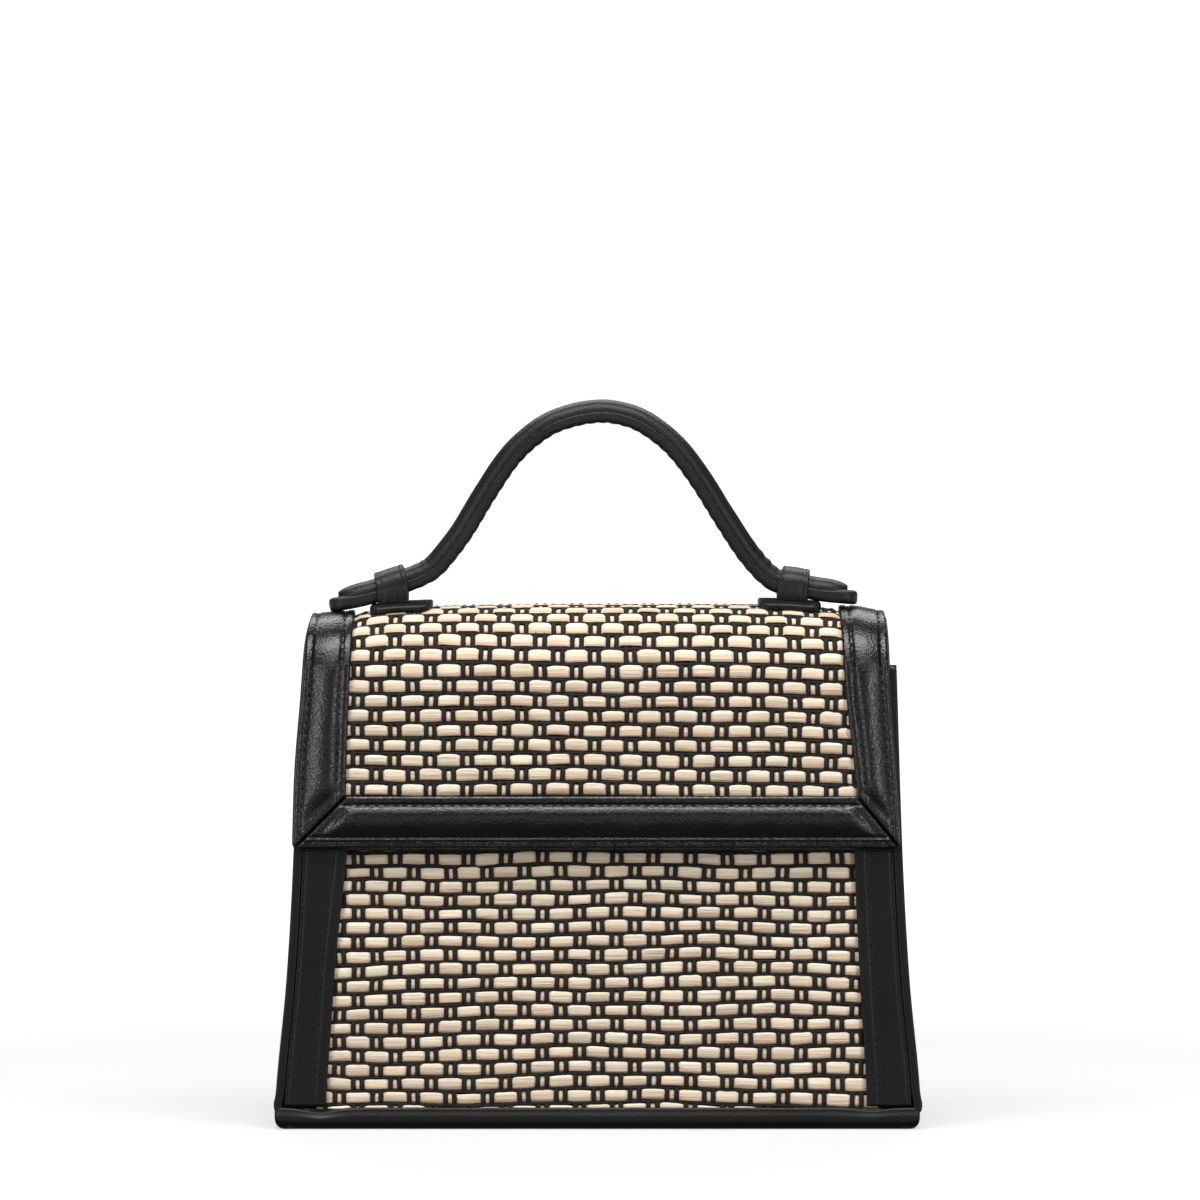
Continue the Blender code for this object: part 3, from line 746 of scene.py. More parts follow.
@dataclass
class Weave:
    """A woven cloth on a surface. Rows of raffia run along x, over one pair of cords and under the next.

    point places x, a distance up or along the cloth and a height, and middle is the height of the cloth's
    middle. clear gives the distance inside the leather that frames the cloth, and edges the x of that
    leather's inner edges. first is the first row's distance. up is 1 where the distance grows upwards in the
    photo. swell and rise say how much a float's edges bow out and how much more the upper one does, and start
    is the x of a float's middle in the rows of even parity.
    """

    name: str
    point: object
    clear: object
    edges: object
    first: float
    row: float
    pitch: float
    count: int
    middle: float
    up: int
    swell: float
    rise: float
    start: float
    parity: int
    replaces: list

    def __post_init__(self):
        self.rows = [self.first + self.row * i for i in range(self.count)]
        self.draw = np.random.default_rng(SEED + len(self.name))

    def squeeze(self, x, v):
        """How freely the cloth stands out: 0 where leather presses on it and 1 well inside."""
        t = np.clip(self.clear(x, v) / 0.002, 0, 1)
        return t * t * (3 - 2 * t)

    def place(self, x, v, height):
        free = self.squeeze(x, v)
        wander = 0.00012 * np.sin(x * 190 + 3 * np.sin(v * 71)) + 0.0001 * np.sin(v * 410 + x * 35)
        return self.point(x + wander, v, self.middle + height * (0.25 + 0.75 * free) - 0.0002 * (1 - free))

    def lift(self, x, index):
        """1 where a row's raffia lies over a pair of cords, -1 where it lies under a pair."""
        turn = 2 * math.pi * ((x - self.start) / self.pitch - 0.5 * ((index + self.parity) % 2))
        return np.tanh(4 * (np.cos(turn) + 0.28))

    def stations(self, v, step, start=0.0):
        """x at whole steps from a start, from just under one edge's leather to just under the other's."""
        left, right = self.edges(v)
        low, high = math.floor((left - WEAVE_LAP) / step), math.ceil((right + WEAVE_LAP) / step)
        return start + np.arange(low, high + 1) * step

    def raffia(self):
        """The raffia, a ribbon for each row. Each float has its own width, tilt and tone."""
        shape = Shape()
        wide, deep = RIBBON_SECTION.T[:, None, :]
        for index, v in enumerate(self.rows):
            x = self.stations(v, self.pitch / 16, self.start)
            lift = self.lift(x, index)
            floats = np.arange(math.floor(x[0] / self.pitch) - 1, math.ceil(x[-1] / self.pitch) + 2)
            centres = self.start + (floats + 0.5 * ((index + self.parity) % 2)) * self.pitch
            size = len(floats)
            nearest = np.clip(np.round((x - centres[0]) / self.pitch).astype(int), 0, size - 1)
            off = (x - centres[nearest]) / (FLOAT_HALF_SHARE * self.pitch)
            from_pair = np.abs((x - self.start + self.pitch / 4) % (self.pitch / 2) - self.pitch / 4)
            arch = np.sqrt(np.clip(1 - 0.9 * np.clip(off, -1, 1) ** 2, 0, 1))
            drawn = {name: self.draw.normal(0, spread, size) for name, spread in FLOAT_SPREAD.items()}
            width, shift, tilt, slant = (drawn[name][nearest] for name in ("width", "shift", "tilt", "slant"))
            fade = (1 + lift) / 2
            half = (self.row - ROW_GAP) / 2 * (1.03 - self.swell + fade * (self.swell * arch + width))
            centre = v + self.up * self.rise * arch * fade
            centre = centre + half * fade * (0.5 * shift + slant * off)
            thick = RIBBON_HALF_HEIGHT * (1 + 0.25 * fade)
            height = 0.00006 + CROSSING_WAVE * lift + CROSSING_WAVE * (1 - fade) * hump(from_pair, 0.0007)
            lean = wide * tilt[:, None] * fade[:, None] * 0.0008
            rings = self.place(
                x[:, None],
                centre[:, None] + wide * half[:, None],
                height[:, None] + deep * thick[:, None] + lean,
            )
            # across is +1 at each ribbon's upper edge; the raffia material paints shade from it, lighter on
            # top.
            shape.add(rings, tone=np.interp(x, centres, drawn["tone"])[:, None], across=wide * self.up)
        return shape.make(self.name + "_raffia", RAFFIA, "woven_raffia", self.replaces, sharp=75)

    def cords(self):
        """Pairs of cords square to the rows."""
        shape = Shape()
        start, end = self.rows[0] - 0.6 * self.row, self.rows[-1] + 0.6 * self.row
        v = np.linspace(start, end, int(round((end - start) / self.row * 4)) + 1)
        left, right = np.array([self.edges(at) for at in v]).T
        first = math.ceil((left.min() - WEAVE_LAP) / self.pitch * 2)
        last = math.floor((right.max() + WEAVE_LAP) / self.pitch * 2)
        for pair in range(first, last + 1):
            for hand in (-1, 1):
                x = self.start + pair * self.pitch / 2 + hand * CORD_GAP / 2 + self.draw.normal(0, 0.00005)
                shown = (x > left - WEAVE_LAP) & (x < right + WEAVE_LAP)
                if shown.sum() < 3:
                    continue
                at = v[shown]
                turn = math.pi * ((at - self.rows[0]) / self.row + pair + self.parity)
                height = 0.00008 - 0.00048 * np.tanh(2.2 * np.cos(turn))
                pinch = 0.00010 * hand * -np.sin(turn) ** 2
                bend = self.draw.normal(0, 0.00008) * np.sin(at * 300 + pair)
                rings = self.place(
                    (x + pinch + bend)[:, None] + CORD_HALF_WIDTH * np.cos(THREAD_SIDES),
                    at[:, None],
                    height[:, None] + CORD_HALF_HEIGHT * np.sin(THREAD_SIDES),
                )
                shape.add(rings)
        return shape.make(self.name + "_cords", YARN, "woven_raffia", self.replaces, sharp=80)

    def threads(self):
        """A dark thread between each two rows, and one beyond the first row and the last."""
        shape = Shape()
        for index in range(len(self.rows) + 1):
            v = self.rows[0] + (index - 0.5) * self.row
            x = self.stations(v, self.pitch / 6)[:, None]
            height = 0.00022 + 0.00008 * np.cos(4 * math.pi * x / self.pitch)
            across = v + THREAD_HALF_WIDTH * np.cos(THREAD_SIDES)
            shape.add(self.place(x, across, height + THREAD_HALF_HEIGHT * np.sin(THREAD_SIDES)))
        return shape.make(self.name + "_threads", YARN, "woven_raffia", self.replaces, sharp=80)

    def make(self):
        self.raffia()
        self.cords()
        self.threads()


def row_drift(x, v):
    """How far the rows of a wall lie off level: they climb and dip a little, as hand-woven cloth does."""
    climb = 0.0011 * np.sin(x * 17.0 + 0.4 + v * 14) * hump(v - 0.045, 0.045)
    sink = 0.0018 * np.maximum(x / 0.08, 0) ** 2 * hump(v, 0.022)
    return climb - sink + 0.00035 * np.sin(x * 61 + v * 90) + 0.0002 * np.sin(x * 140 - v * 160)


def flap_drift(x, s):
    share = x / 0.075
    sink = 0.0006 + 0.00085 * share + 0.0004 * share**2
    return sink + 0.00035 * np.sin(x * 24 + s * 30) + 0.0002 * np.sin(x * 75 - s * 60)


def wall_edges(z):
    """The inner edges of a wall's strips at a height."""
    return -inside_x(z) + strip_width(z, "left"), inside_x(z) - strip_width(z, "right")


def wall_cloth(name, facing, top, rows_top, first, replaces):
    """A woven wall: its rows up to rows_top, on a dark cloth with the solid's outline."""

    def clear(x, z):
        left, right = wall_edges(np.clip(z, 0, BODY_HEIGHT))
        return np.minimum(x - left, right - x)

    def point(x, z, height):
        return wall_point(x, z + row_drift(x, z), height, facing)

    def cloth_point(share, z, height):
        return wall_point(share * inside_x(z), z, height, facing)

    Weave(
        name=name,
        point=point,
        clear=clear,
        edges=wall_edges,
        first=first,
        row=BODY_ROW,
        pitch=BODY_PITCH,
        count=int((rows_top - first) / BODY_ROW) + 1,
        middle=-WEAVE_DEPTH,
        up=1,
        swell=0.10,
        rise=0.00005,
        start=0.0,
        parity=0,
        replaces=replaces,
    ).make()
    cloth = Shape()
    across = np.linspace(-1, 1, 25)
    parts = [(BASE_FLOOR + FIT, top, -PANEL_WALL, CLOTH_WALL - PANEL_WALL)]
    if rows_top < top - BODY_ROW:
        parts.append((rows_top + BODY_ROW, top, CLOTH_WALL - PANEL_WALL, -FIT))
    for low, high, under, over in parts:
        cloth.add(slab_rings(cloth_point, across, np.linspace(low, high, 25), over, under))
    cloth.make(name + "_cloth", CLOTH, "woven_raffia", replaces)


def flap_cloth():
    """The flap's weave, on a dark cloth that reaches under its trims."""

    def edges(s):
        return trim_x(s, "left", 0.0), trim_x(s, "right", 0.0)

    def clear(x, s):
        left, right = edges(s)
        return np.minimum(np.minimum(x - left, right - x), MITRE_START - s)

    def point(x, s, height):
        return flap_point(x, s + flap_drift(x, s), height)

    def cloth_point(share, s, height):
        left = trim_x(s, "left", 0.0) - TRIM_LAP + FIT
        right = trim_x(s, "right", 0.0) + TRIM_LAP - FIT
        return flap_point(left + (right - left) * share, s, height)

    last = MITRE_START - 0.0025
    count = int(last / FLAP_ROW) + 1
    Weave(
        name="flap",
        point=point,
        clear=clear,
        edges=edges,
        first=last - (count - 1) * FLAP_ROW,
        row=FLAP_ROW,
        pitch=FLAP_PITCH,
        count=count,
        middle=PANEL_TOP - WEAVE_DEPTH,
        up=-1,
        swell=0.17,
        rise=0.00032,
        start=FLAP_START,
        parity=(count - 1) % 2,
        replaces=["flap_panel"],
    ).make()
    along = np.linspace(0, MITRE_START + TRIM_LAP - FIT, 90)
    rings = slab_rings(cloth_point, np.linspace(0, 1, 41), along, PANEL_UNDER + CLOTH_WALL, PANEL_UNDER)
    piece(rings, "flap_cloth", CLOTH, "woven_raffia", ["flap_panel"])


# The flap's leather


def valley(distance):
    """The dent that a row of stitches pulls in the leather, at a distance from the row."""
    return VALLEY_DEPTH * hump(distance, VALLEY_WIDTH)


def trim_height(across, width, puff, rim_distance, outer_seam, band=0.0):
    """Top height of a padded trim: it steps down from the panel, swells between two rows of stitches, mostly
    near the inner one, and is dented along them. band is the width of the lower edge that is folded round
    from behind."""
    step = read(TRIM_SECTION, "across", across, "step") * (PANEL_WALL + FIT)
    inner = TRIM_INNER_SEAM / width
    outer = 1 - outer_seam / width
    swell = np.clip((across - inner) / (outer - inner), 0, 1)
    before = 1 - (1 - swell / PAD_PEAK) ** 2
    after = 1 - np.abs((swell - PAD_PEAK) / (1 - PAD_PEAK)) ** 2.2
    padding = np.where(swell < PAD_PEAK, before, after)
    lip = 0.15 * hump(across - inner / 2, inner / 2.2)
    height = PANEL_UNDER + step + TRIM_LEATHER + puff * (padding + lip)
    height -= valley((across - inner) * width) + valley((across - outer) * width)
    if band:
        into = band - (1 - across) * width
        fold = np.where(into > 0, EDGE_BAND_DEPTH, fillet(np.maximum(-into, 0), 0.0005))
        height -= fold - 0.0004 * np.sqrt(np.clip(1 - (2 * np.clip(into / band, 0, 1) - 1) ** 2, 0, 1))
    return height - fillet(rim_distance, TRIM_EDGE_RADIUS)


def trim_under(across, width):
    return np.where(across * width < TRIM_LAP, TRIM_OVER_PANEL, PANEL_UNDER)


def trim_rows(width):
    """Shares across a trim for its under side, with the step over the woven panel."""
    lap = TRIM_LAP / width
    return np.array([1.0, lap + 0.001, lap - 0.001, 0.0])


def mitre_swing(s):
    return np.clip((s / MITRE_START - MITRE_BLEND) / (1 - MITRE_BLEND), 0, 1)


def side_trim_place(side):
    """Places a share across, a length along and a height, with the trim's end cut along the mitre."""

    def place(across, s, height):
        here = s + mitre_swing(s) * (BOTTOM_TRIM_WIDTH * across - FIT / 2)
        x, here = round_corners(trim_x(here, side, across), here, LINING_MARGIN)
        return flap_point(x, here, height)

    return place


def mitre_flat(distance):
    """How much of the padding is left at a distance from the mitre, where the leather lies flat."""
    return 1 - hump(np.maximum(distance - MITRE_REACH, 0), MITRE_REACH)


def mitre_dent(distance):
    """The dent between the rolled edge along the mitre and the padding."""
    return 0.0002 * hump(distance - 0.0026, 0.0005)


def side_trim_height(side):
    def height(across, s):
        width = side_trim_width(s, side)
        from_mitre = (MITRE_START - s) * MITRE_SLANT
        puff = PAD_RISE * read(FLAP_OUTLINE, "run", s / RUN, "puff") * mitre_flat(from_mitre)
        rim = np.minimum(np.minimum(across, 1 - across) * width, from_mitre)
        return trim_height(across, width, puff, rim, SIDE_OUTER_SEAM) - mitre_dent(from_mitre)

    return height


def trim_leather(side, place, height, width, across, along, wave):
    """One of the flap's three padded trims, which laps over the woven panel."""
    back = trim_rows(width)
    rings = slab_rings(place, across, along, height, lambda share, _: trim_under(share, width), back, wave)
    made = piece(rings, "flap_leather_" + side, LEATHER, "black_leather", ["flap_trim_" + side])


def flap_trim_side(side, stitches):
    place, height = side_trim_place(side), side_trim_height(side)
    across = spaced(SIDE_TRIM_WIDTH, 0.0004, TRIM_EDGE_RADIUS) / SIDE_TRIM_WIDTH
    end = MITRE_START - 0.0012 * np.array([0.5, 0.25, 0.08, 0])
    along = np.concatenate([spaced(MITRE_START, LEATHER_STEP)[:-1], end])
    wave = waves(flap_normal(along)[:, None, :], 0.00009, 0.012, 3)
    trim_leather(side, place, height, SIDE_TRIM_WIDTH, across, along, wave)
    s = np.linspace(0.001, MITRE_START - 0.0008, 400)
    width = side_trim_width(s, side)
    for edge in (TRIM_INNER_SEAM / width, 1 - SIDE_OUTER_SEAM / width):
        stitch_row(stitches, place(edge, s, height(edge, s) + STITCH_RISE), flap_normal(s))


def bottom_trim_place(across, share, height):
    s = MITRE_START + BOTTOM_TRIM_WIDTH * across
    left = trim_x(s, "left", across) + FIT
    right = trim_x(s, "right", across) - FIT
    x, s = round_corners(left + (right - left) * share, s, LINING_MARGIN)
    return flap_point(x, s, height)


def bottom_trim_height(across, share):
    s = MITRE_START + BOTTOM_TRIM_WIDTH * across
    length = trim_x(s, "right", across) - trim_x(s, "left", across)
    from_mitre = np.minimum(share, 1 - share) * length * MITRE_SLANT
    rim = np.minimum(np.minimum(across, 1 - across) * BOTTOM_TRIM_WIDTH, from_mitre)
    puff = PAD_RISE * mitre_flat(from_mitre)
    height = trim_height(across, BOTTOM_TRIM_WIDTH, puff, rim, BOTTOM_OUTER_SEAM, EDGE_BAND)
    return height - mitre_dent(from_mitre)


def flap_trim_bottom(stitches):
    length = FLAP_WIDTH - SIDE_TRIM_WIDTH
    across = spaced(BOTTOM_TRIM_WIDTH, 0.0003, TRIM_EDGE_RADIUS) / BOTTOM_TRIM_WIDTH
    along = spaced(length, LEATHER_STEP, 0.0012) / length
    out = flap_normal(RUN)
    wave = waves(out, SURFACE_WAVE, 0.014, 4)
    trim_leather("bottom", bottom_trim_place, bottom_trim_height, BOTTOM_TRIM_WIDTH, across, along, wave)
    share = np.linspace(0.008, 0.992, 500)
    for seam in (TRIM_INNER_SEAM, BOTTOM_TRIM_WIDTH - BOTTOM_OUTER_SEAM):
        edge = seam / BOTTOM_TRIM_WIDTH
        line = bottom_trim_place(edge, share, bottom_trim_height(edge, share) + STITCH_RISE)
        stitch_row(stitches, line, np.broadcast_to(out, line.shape))


def flap_lining():
    """The thin layer under the flap, whose edge shows round the trims."""

    def place(share, s, height):
        half = np.where(share < 0, flap_half(s, "left"), flap_half(s, "right"))
        x, s = round_corners(share * half, s, 0.0)
        return flap_point(x, s, height)

    def rim(share, s):
        return np.minimum((1 - np.abs(share)) * FLAP_WIDTH / 2, RUN - s)

    def top(share, s):
        return LINING_WALL - fillet(rim(share, s), LINING_EDGE_RADIUS)

    def under(share, s):
        return fillet(rim(share, s), 0.0003)

    across = spaced(FLAP_WIDTH, 0.005, LINING_EDGE_RADIUS) / (FLAP_WIDTH / 2) - 1
    across = np.unique(np.concatenate([across, np.linspace(-1, -0.96, 6), np.linspace(0.96, 1, 6)]))
    end = RUN - 0.0004 * np.array([8, 6, 4, 2, 1, 0.6, 0.3, 0.1, 0])
    along = np.concatenate([spaced(RUN - 0.004, 0.0030), end])
    rings = slab_rings(place, across, along, top, under)
    piece(rings, "flap_lining_leather", LINING, "lining_leather", ["flap_lining"])


# The body's leather


def wall_strip(facing, side, top, stitches):
    """A flat strip of leather with a row of stitches near each edge. It ends at the seam's rolled edge."""
    sign = -1 if side == "left" else 1
    foot = BASE_LIP_HEIGHT + FIT

    def edges(z):
        return side_x(z) - SEAM_EDGE - SEAM_GROOVE, inside_x(z) - strip_width(z, side)

    def place(share, z, height):
        outer, inner = edges(z)
        return wall_point(sign * (outer + (inner - outer) * share), z, height, facing)

    def height(share, z):
        outer, inner = edges(z)
        width = outer - inner
        rim = np.minimum(np.minimum(share, 1 - share) * width, z - foot)
        dent = valley(share * width - STRIP_OUTER_SEAM) + valley((1 - share) * width - STRIP_SEAM)
        return FIT + STRIP_WALL - 0.6 * dent - fillet(rim, STRIP_EDGE_RADIUS)

    across = spaced(STRIP_WIDTH, 0.0005, STRIP_EDGE_RADIUS) / STRIP_WIDTH
    start = STRIP_EDGE_RADIUS * np.array([0, 0.1, 0.3, 0.6])
    along = foot + np.concatenate([start, spaced(top - foot - 0.001, 0.0014) + 0.001])
    wave = waves(np.array([0.0, facing, 0.0]), SURFACE_WAVE, 0.02, 5)
    rings = slab_rings(place, across, along, height, FIT, wave=wave)
    wall = "front" if facing < 0 else "back"
    piece(rings, f"{wall}_leather_{side}", WALL_LEATHER, "black_leather", [f"{wall}_trim_{side}"])
    normal = np.array([0.0, facing * math.cos(LEAN), math.sin(LEAN)])
    z = np.linspace(foot + 0.002, top - 0.001, 400)
    outer, inner = edges(z)
    for seam in (STRIP_OUTER_SEAM, outer - inner - STRIP_SEAM):
        share = seam / (outer - inner)
        line = place(share, z, height(share, z) + STITCH_RISE)
        stitch_row(stitches, line, np.broadcast_to(normal, line.shape))


def gusset(side):
    """A side wall that tucks in between its seams, with a rolled edge along each seam."""
    sign = -1 if side == "left" else 1
    back_top = BACK_HEIGHT - FIT

    def top_at(across):
        return BODY_HEIGHT + (back_top - BODY_HEIGHT) * np.minimum((across + 1) / (GUSSET_SLOPE_END + 1), 1)

    def outer_x(across, z):
        edge = face_y(z) + FIT + STRIP_WALL
        tucked = edge - GUSSET_SEAM_MARGIN
        tuck = GUSSET_TUCK * z / BODY_HEIGHT * np.maximum(1 - (across * edge / tucked) ** 2, 0) ** 2
        fold = GUSSET_FOLD * (z / BODY_HEIGHT) * hump(across, 0.05)
        foot = GUSSET_FOOT_TUCK * np.clip(1 - z / 0.005, 0, 1) ** 1.5
        return side_x(z) - tuck - fold - foot - lean_in(z)

    def lean_in(z):
        return GUSSET_LEAN_IN * np.clip((z / BODY_HEIGHT - 0.72) / 0.2, 0, 1) * (side == "left")

    def place(across, share, height):
        z = GUSSET_GROUND_GAP + (top_at(across) - GUSSET_GROUND_GAP) * share
        y = across * (face_y(z) + FIT + STRIP_WALL - 0.0005)
        return points(sign * (outer_x(across, z) - height), y, z)

    def wave(upper):
        return np.array([-sign, 0.0, 0.0]) * (SURFACE_WAVE * (1 + ripple(upper, 0.02, 6)))[..., None]

    shape = Shape()
    shape.add(slab_rings(place, np.linspace(-1, 1, 41), np.linspace(0, 1, 61), 0.0, GUSSET_WALL, wave=wave))
    turns = np.linspace(0, 2 * math.pi, 28, endpoint=False)
    round_x, round_y = signed_power(np.cos(turns), 0.35), signed_power(np.sin(turns), 0.35)
    middle_dent = 1 - 0.08 * hump(round_y, 0.25)
    for facing, top in ((-1, BODY_HEIGHT), (1, back_top)):
        end = top - SEAM_END_ROUND * np.array([0.6, 0.3, 0.12, 0.03, 0])
        z = np.concatenate([[GUSSET_GROUND_GAP], np.linspace(0.002, top - SEAM_END_ROUND, 110), end])
        near_end = np.clip(1 - (top - z) / SEAM_END_ROUND, 0, 1)
        grow = np.sqrt(np.clip(1 - near_end**2, 0.02, 1))
        ear = SEAM_EAR * hump(z - 0.0082, 0.0026) - 0.0030 * np.clip((0.0060 - z) / 0.005, 0, 1)
        x = side_x(z) + ear - SEAM_EDGE / 2 - lean_in(z)
        y = face_y(z) + FIT + STRIP_WALL + 0.0001 - SEAM_EDGE_DEPTH / 2
        half_x, half_y = SEAM_EDGE / 2 * grow, SEAM_EDGE_DEPTH / 2 * grow
        rings = points(
            sign * (x[:, None] + half_x[:, None] * round_x * middle_dent),
            facing * (y[:, None] + half_y[:, None] * round_y),
            z[:, None],
        )
        shape.add(rings)
    shape.make("gusset_leather_" + side, WALL_LEATHER, "black_leather", ["gusset_" + side])


def base():
    """The base, whose lips have a folded band along front and back and rounded ends."""
    half = BASE_DEPTH / 2
    left, right = -side_x(0.0) - BASE_LEFT_REACH, side_x(0.0) + BASE_RIGHT_REACH
    lip = BASE_LIP_HEIGHT
    turns = np.linspace(0, math.pi / 2, 7)
    outer = [
        (half - 0.0018 + 0.0009 * math.cos(t), lip - 0.0010 + 0.0010 * math.sin(t)) for t in turns[::-1]
    ]
    outer += [(half - 0.0005, lip - 0.0020), (half - 0.0001, lip - 0.0028), (half, 0.0040)]
    radius = BASE_EDGE_RADIUS
    outer += [(half - radius + radius * math.cos(t), radius - radius * math.sin(t)) for t in turns]
    inner_y = half - BASE_LIP_WALL
    profile = [(-y, z) for y, z in outer] + [(y, z) for y, z in reversed(outer)]
    profile += [(inner_y, lip - 0.0004), (inner_y, BASE_FLOOR)]
    profile += [(-inner_y, BASE_FLOOR), (-inner_y, lip - 0.0004)]
    profile = np.array(profile)
    x = left + spaced(right - left, 0.0018, BASE_CORNER, 10)
    end = np.minimum(x - left, right - x)
    drop = fillet(end, BASE_CORNER)
    dip = BASE_LEFT_DIP * hump(x + 0.0955, 0.0065) + BASE_RIGHT_DIP * hump(x - 0.094, 0.006)
    y, z = profile.T[:, None, :]
    front = (y < -inner_y - 0.0001) & (z > 0.0045)
    level = np.clip(z / lip, 0, 1)
    raised = z + drop[:, None] * (1 - level) - np.where(front, dip[:, None] * (level**2), 0)
    pulled = y * (1 - 0.35 * drop[:, None] / half)
    rings = points(x[:, None], pulled, raised)
    wave = SURFACE_WAVE * ripple(rings, 0.03, 8)
    rings[..., 1] += np.where(np.abs(y) > inner_y + 0.0003, wave, 0)
    piece(rings, "base_leather", WALL_LEATHER, "black_leather", ["base_panel"])


# The handle

HANDLE_LEFT = HANDLE_LINE[0]["across"] * HANDLE_SPAN / 2
HANDLE_RIGHT = HANDLE_LINE[-1]["across"] * HANDLE_SPAN / 2
HANDLE_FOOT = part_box("handle_strap")[1].z + FIT / 2 - HANDLE_RISE


def handle_height(x):
    return HANDLE_FOOT + HANDLE_RISE * read(HANDLE_LINE, "across", x / (HANDLE_SPAN / 2), "rise")


def handle_frame(x):
    """Points on the handle's seam line, and the directions square to it and up from the strap."""
    step = HANDLE_SPAN / 400
    before, after = np.maximum(x - step, HANDLE_LEFT), np.minimum(x + step, HANDLE_RIGHT)
    run, rise = after - before, handle_height(after) - handle_height(before)
    size = np.hypot(run, rise)
    return points(x, TOP_Y, handle_height(x)), points(-rise / size, 0.0, run / size)


def handle_lengths():
    """x at fine steps along the handle, and the length of its line up to each."""
    x = np.linspace(HANDLE_LEFT, HANDLE_RIGHT, 1500)
    steps = np.hypot(np.diff(x), np.diff(handle_height(x)))
    return x, np.concatenate([[0], np.cumsum(steps)])


def handle_stations(step, rim):
    fine, lengths = handle_lengths()
    wanted = spaced(lengths[-1], step, rim)
    return np.interp(wanted, lengths, fine), wanted, lengths[-1]


def handle_strap():
    """The strap under the roll: rounded edges, round ends, and an under side that its stitches scallop."""
    x, length, total = handle_stations(0.0007, STRAP_CORNER_RADIUS)
    seam, up = handle_frame(x)
    inset = np.minimum(length, total - length)
    half = HANDLE_WIDTH / 2 - fillet(inset, STRAP_CORNER_RADIUS)
    wall = STRAP_END_WALL + (STRAP_WALL - STRAP_END_WALL) * np.minimum(inset / STRAP_END_LENGTH, 1)
    inside = np.clip((inset - 0.026) / 0.006, 0, 1)
    scallop = STRAP_SCALLOP * inside * (np.abs(np.sin(math.pi * length / HANDLE_STITCH_PITCH)) - 0.5)
    edge_round = fillet(inset, 0.0012)
    turns = np.linspace(0, 2 * math.pi, 36, endpoint=False)
    across = signed_power(np.cos(turns), 0.28)
    depth = (1 - signed_power(np.sin(turns), 0.5)) / 2
    groove = STRAP_GROOVE * hump(depth - 0.30, 0.10)
    top = -STRAP_LAP * np.clip((inset - ROLL_INSET) / 0.002, 0, 1)
    thickness = wall + FIT / 2 - top - 2 * edge_round
    down = top[:, None] + edge_round[:, None] + depth[None, :] * thickness[:, None]
    down = down + (depth[None, :] > 0.6) * scallop[:, None]
    rings = seam[:, None, :] - up[:, None, :] * down[..., None]
    rings[..., 1] += across[None, :] * half[:, None] - np.sign(across)[None, :] * groove[None, :]
    piece(rings, "strap_leather", HANDLE_LEATHER, "black_leather", ["handle_strap"])


def roll_section(x, length, total):
    """Half the width and the height of the roll along the handle."""
    inset = np.minimum(length, total - length) - ROLL_INSET
    grown = np.clip(inset / ROLL_TAPER, 0, 1)
    full = np.sqrt(1 - (1 - grown) ** 2)
    level = ROLL_END_HEIGHT + (ROLL_HEIGHT - ROLL_END_HEIGHT) * np.clip(inset / STRAP_END_LENGTH, 0, 1)
    height = level * (ROLL_TIP / 2 + (1 - ROLL_TIP / 2) * full)
    half = ROLL_WIDTH / 2 * (ROLL_TIP + (1 - ROLL_TIP) * full)
    wrinkle = hump(x - 0.0565, 0.004) * np.sin(2 * math.pi * x / 0.0028)
    wrinkle = wrinkle + 0.5 * hump(x + 0.0600, 0.003) * np.sin(2 * math.pi * x / 0.0030)
    return half, height + ROLL_WRINKLE * wrinkle


def handle_roll(stitches):
    x, length, total = handle_stations(0.0008, 0.002)
    shown = np.minimum(length, total - length) >= ROLL_INSET
    x, length = x[shown], length[shown]
    seam, up = handle_frame(x)
    half, height = roll_section(x, length, total)
    turns = np.linspace(0, math.pi, 25)
    flat = np.array([0.9, 0.5, 0.0, -0.5, -0.9])
    across = np.concatenate([-np.cos(turns), flat])
    rise = np.concatenate([np.sin(turns) ** 0.85, 0 * flat])
    rings = seam[:, None, :] + up[:, None, :] * (FIT / 2 + rise[None, :] * height[:, None])[..., None]
    rings[..., 1] += across[None, :] * half[:, None]
    rings += up[:, None, :] * (0.00005 * ripple(rings, 0.009, 9) * (rise > 0.3)[None, :])[..., None]
    made = piece(rings, "roll_leather", HANDLE_LEATHER, "black_leather", ["handle_roll"])
    for facing in (-1, 1):
        inner = (length > 0.004) & (length < total - 0.004)
        line = seam[inner] + up[inner] * 0.00015
        line[:, 1] += facing * (half[inner] + 0.0004)
        normal = up[inner] * 0.35 + np.array([0.0, facing * 0.94, 0.0])
        stitch_row(
            stitches, line, normal, HANDLE_STITCH_PITCH, HANDLE_STITCH_LENGTH, HANDLE_STITCH_RADIUS
        )


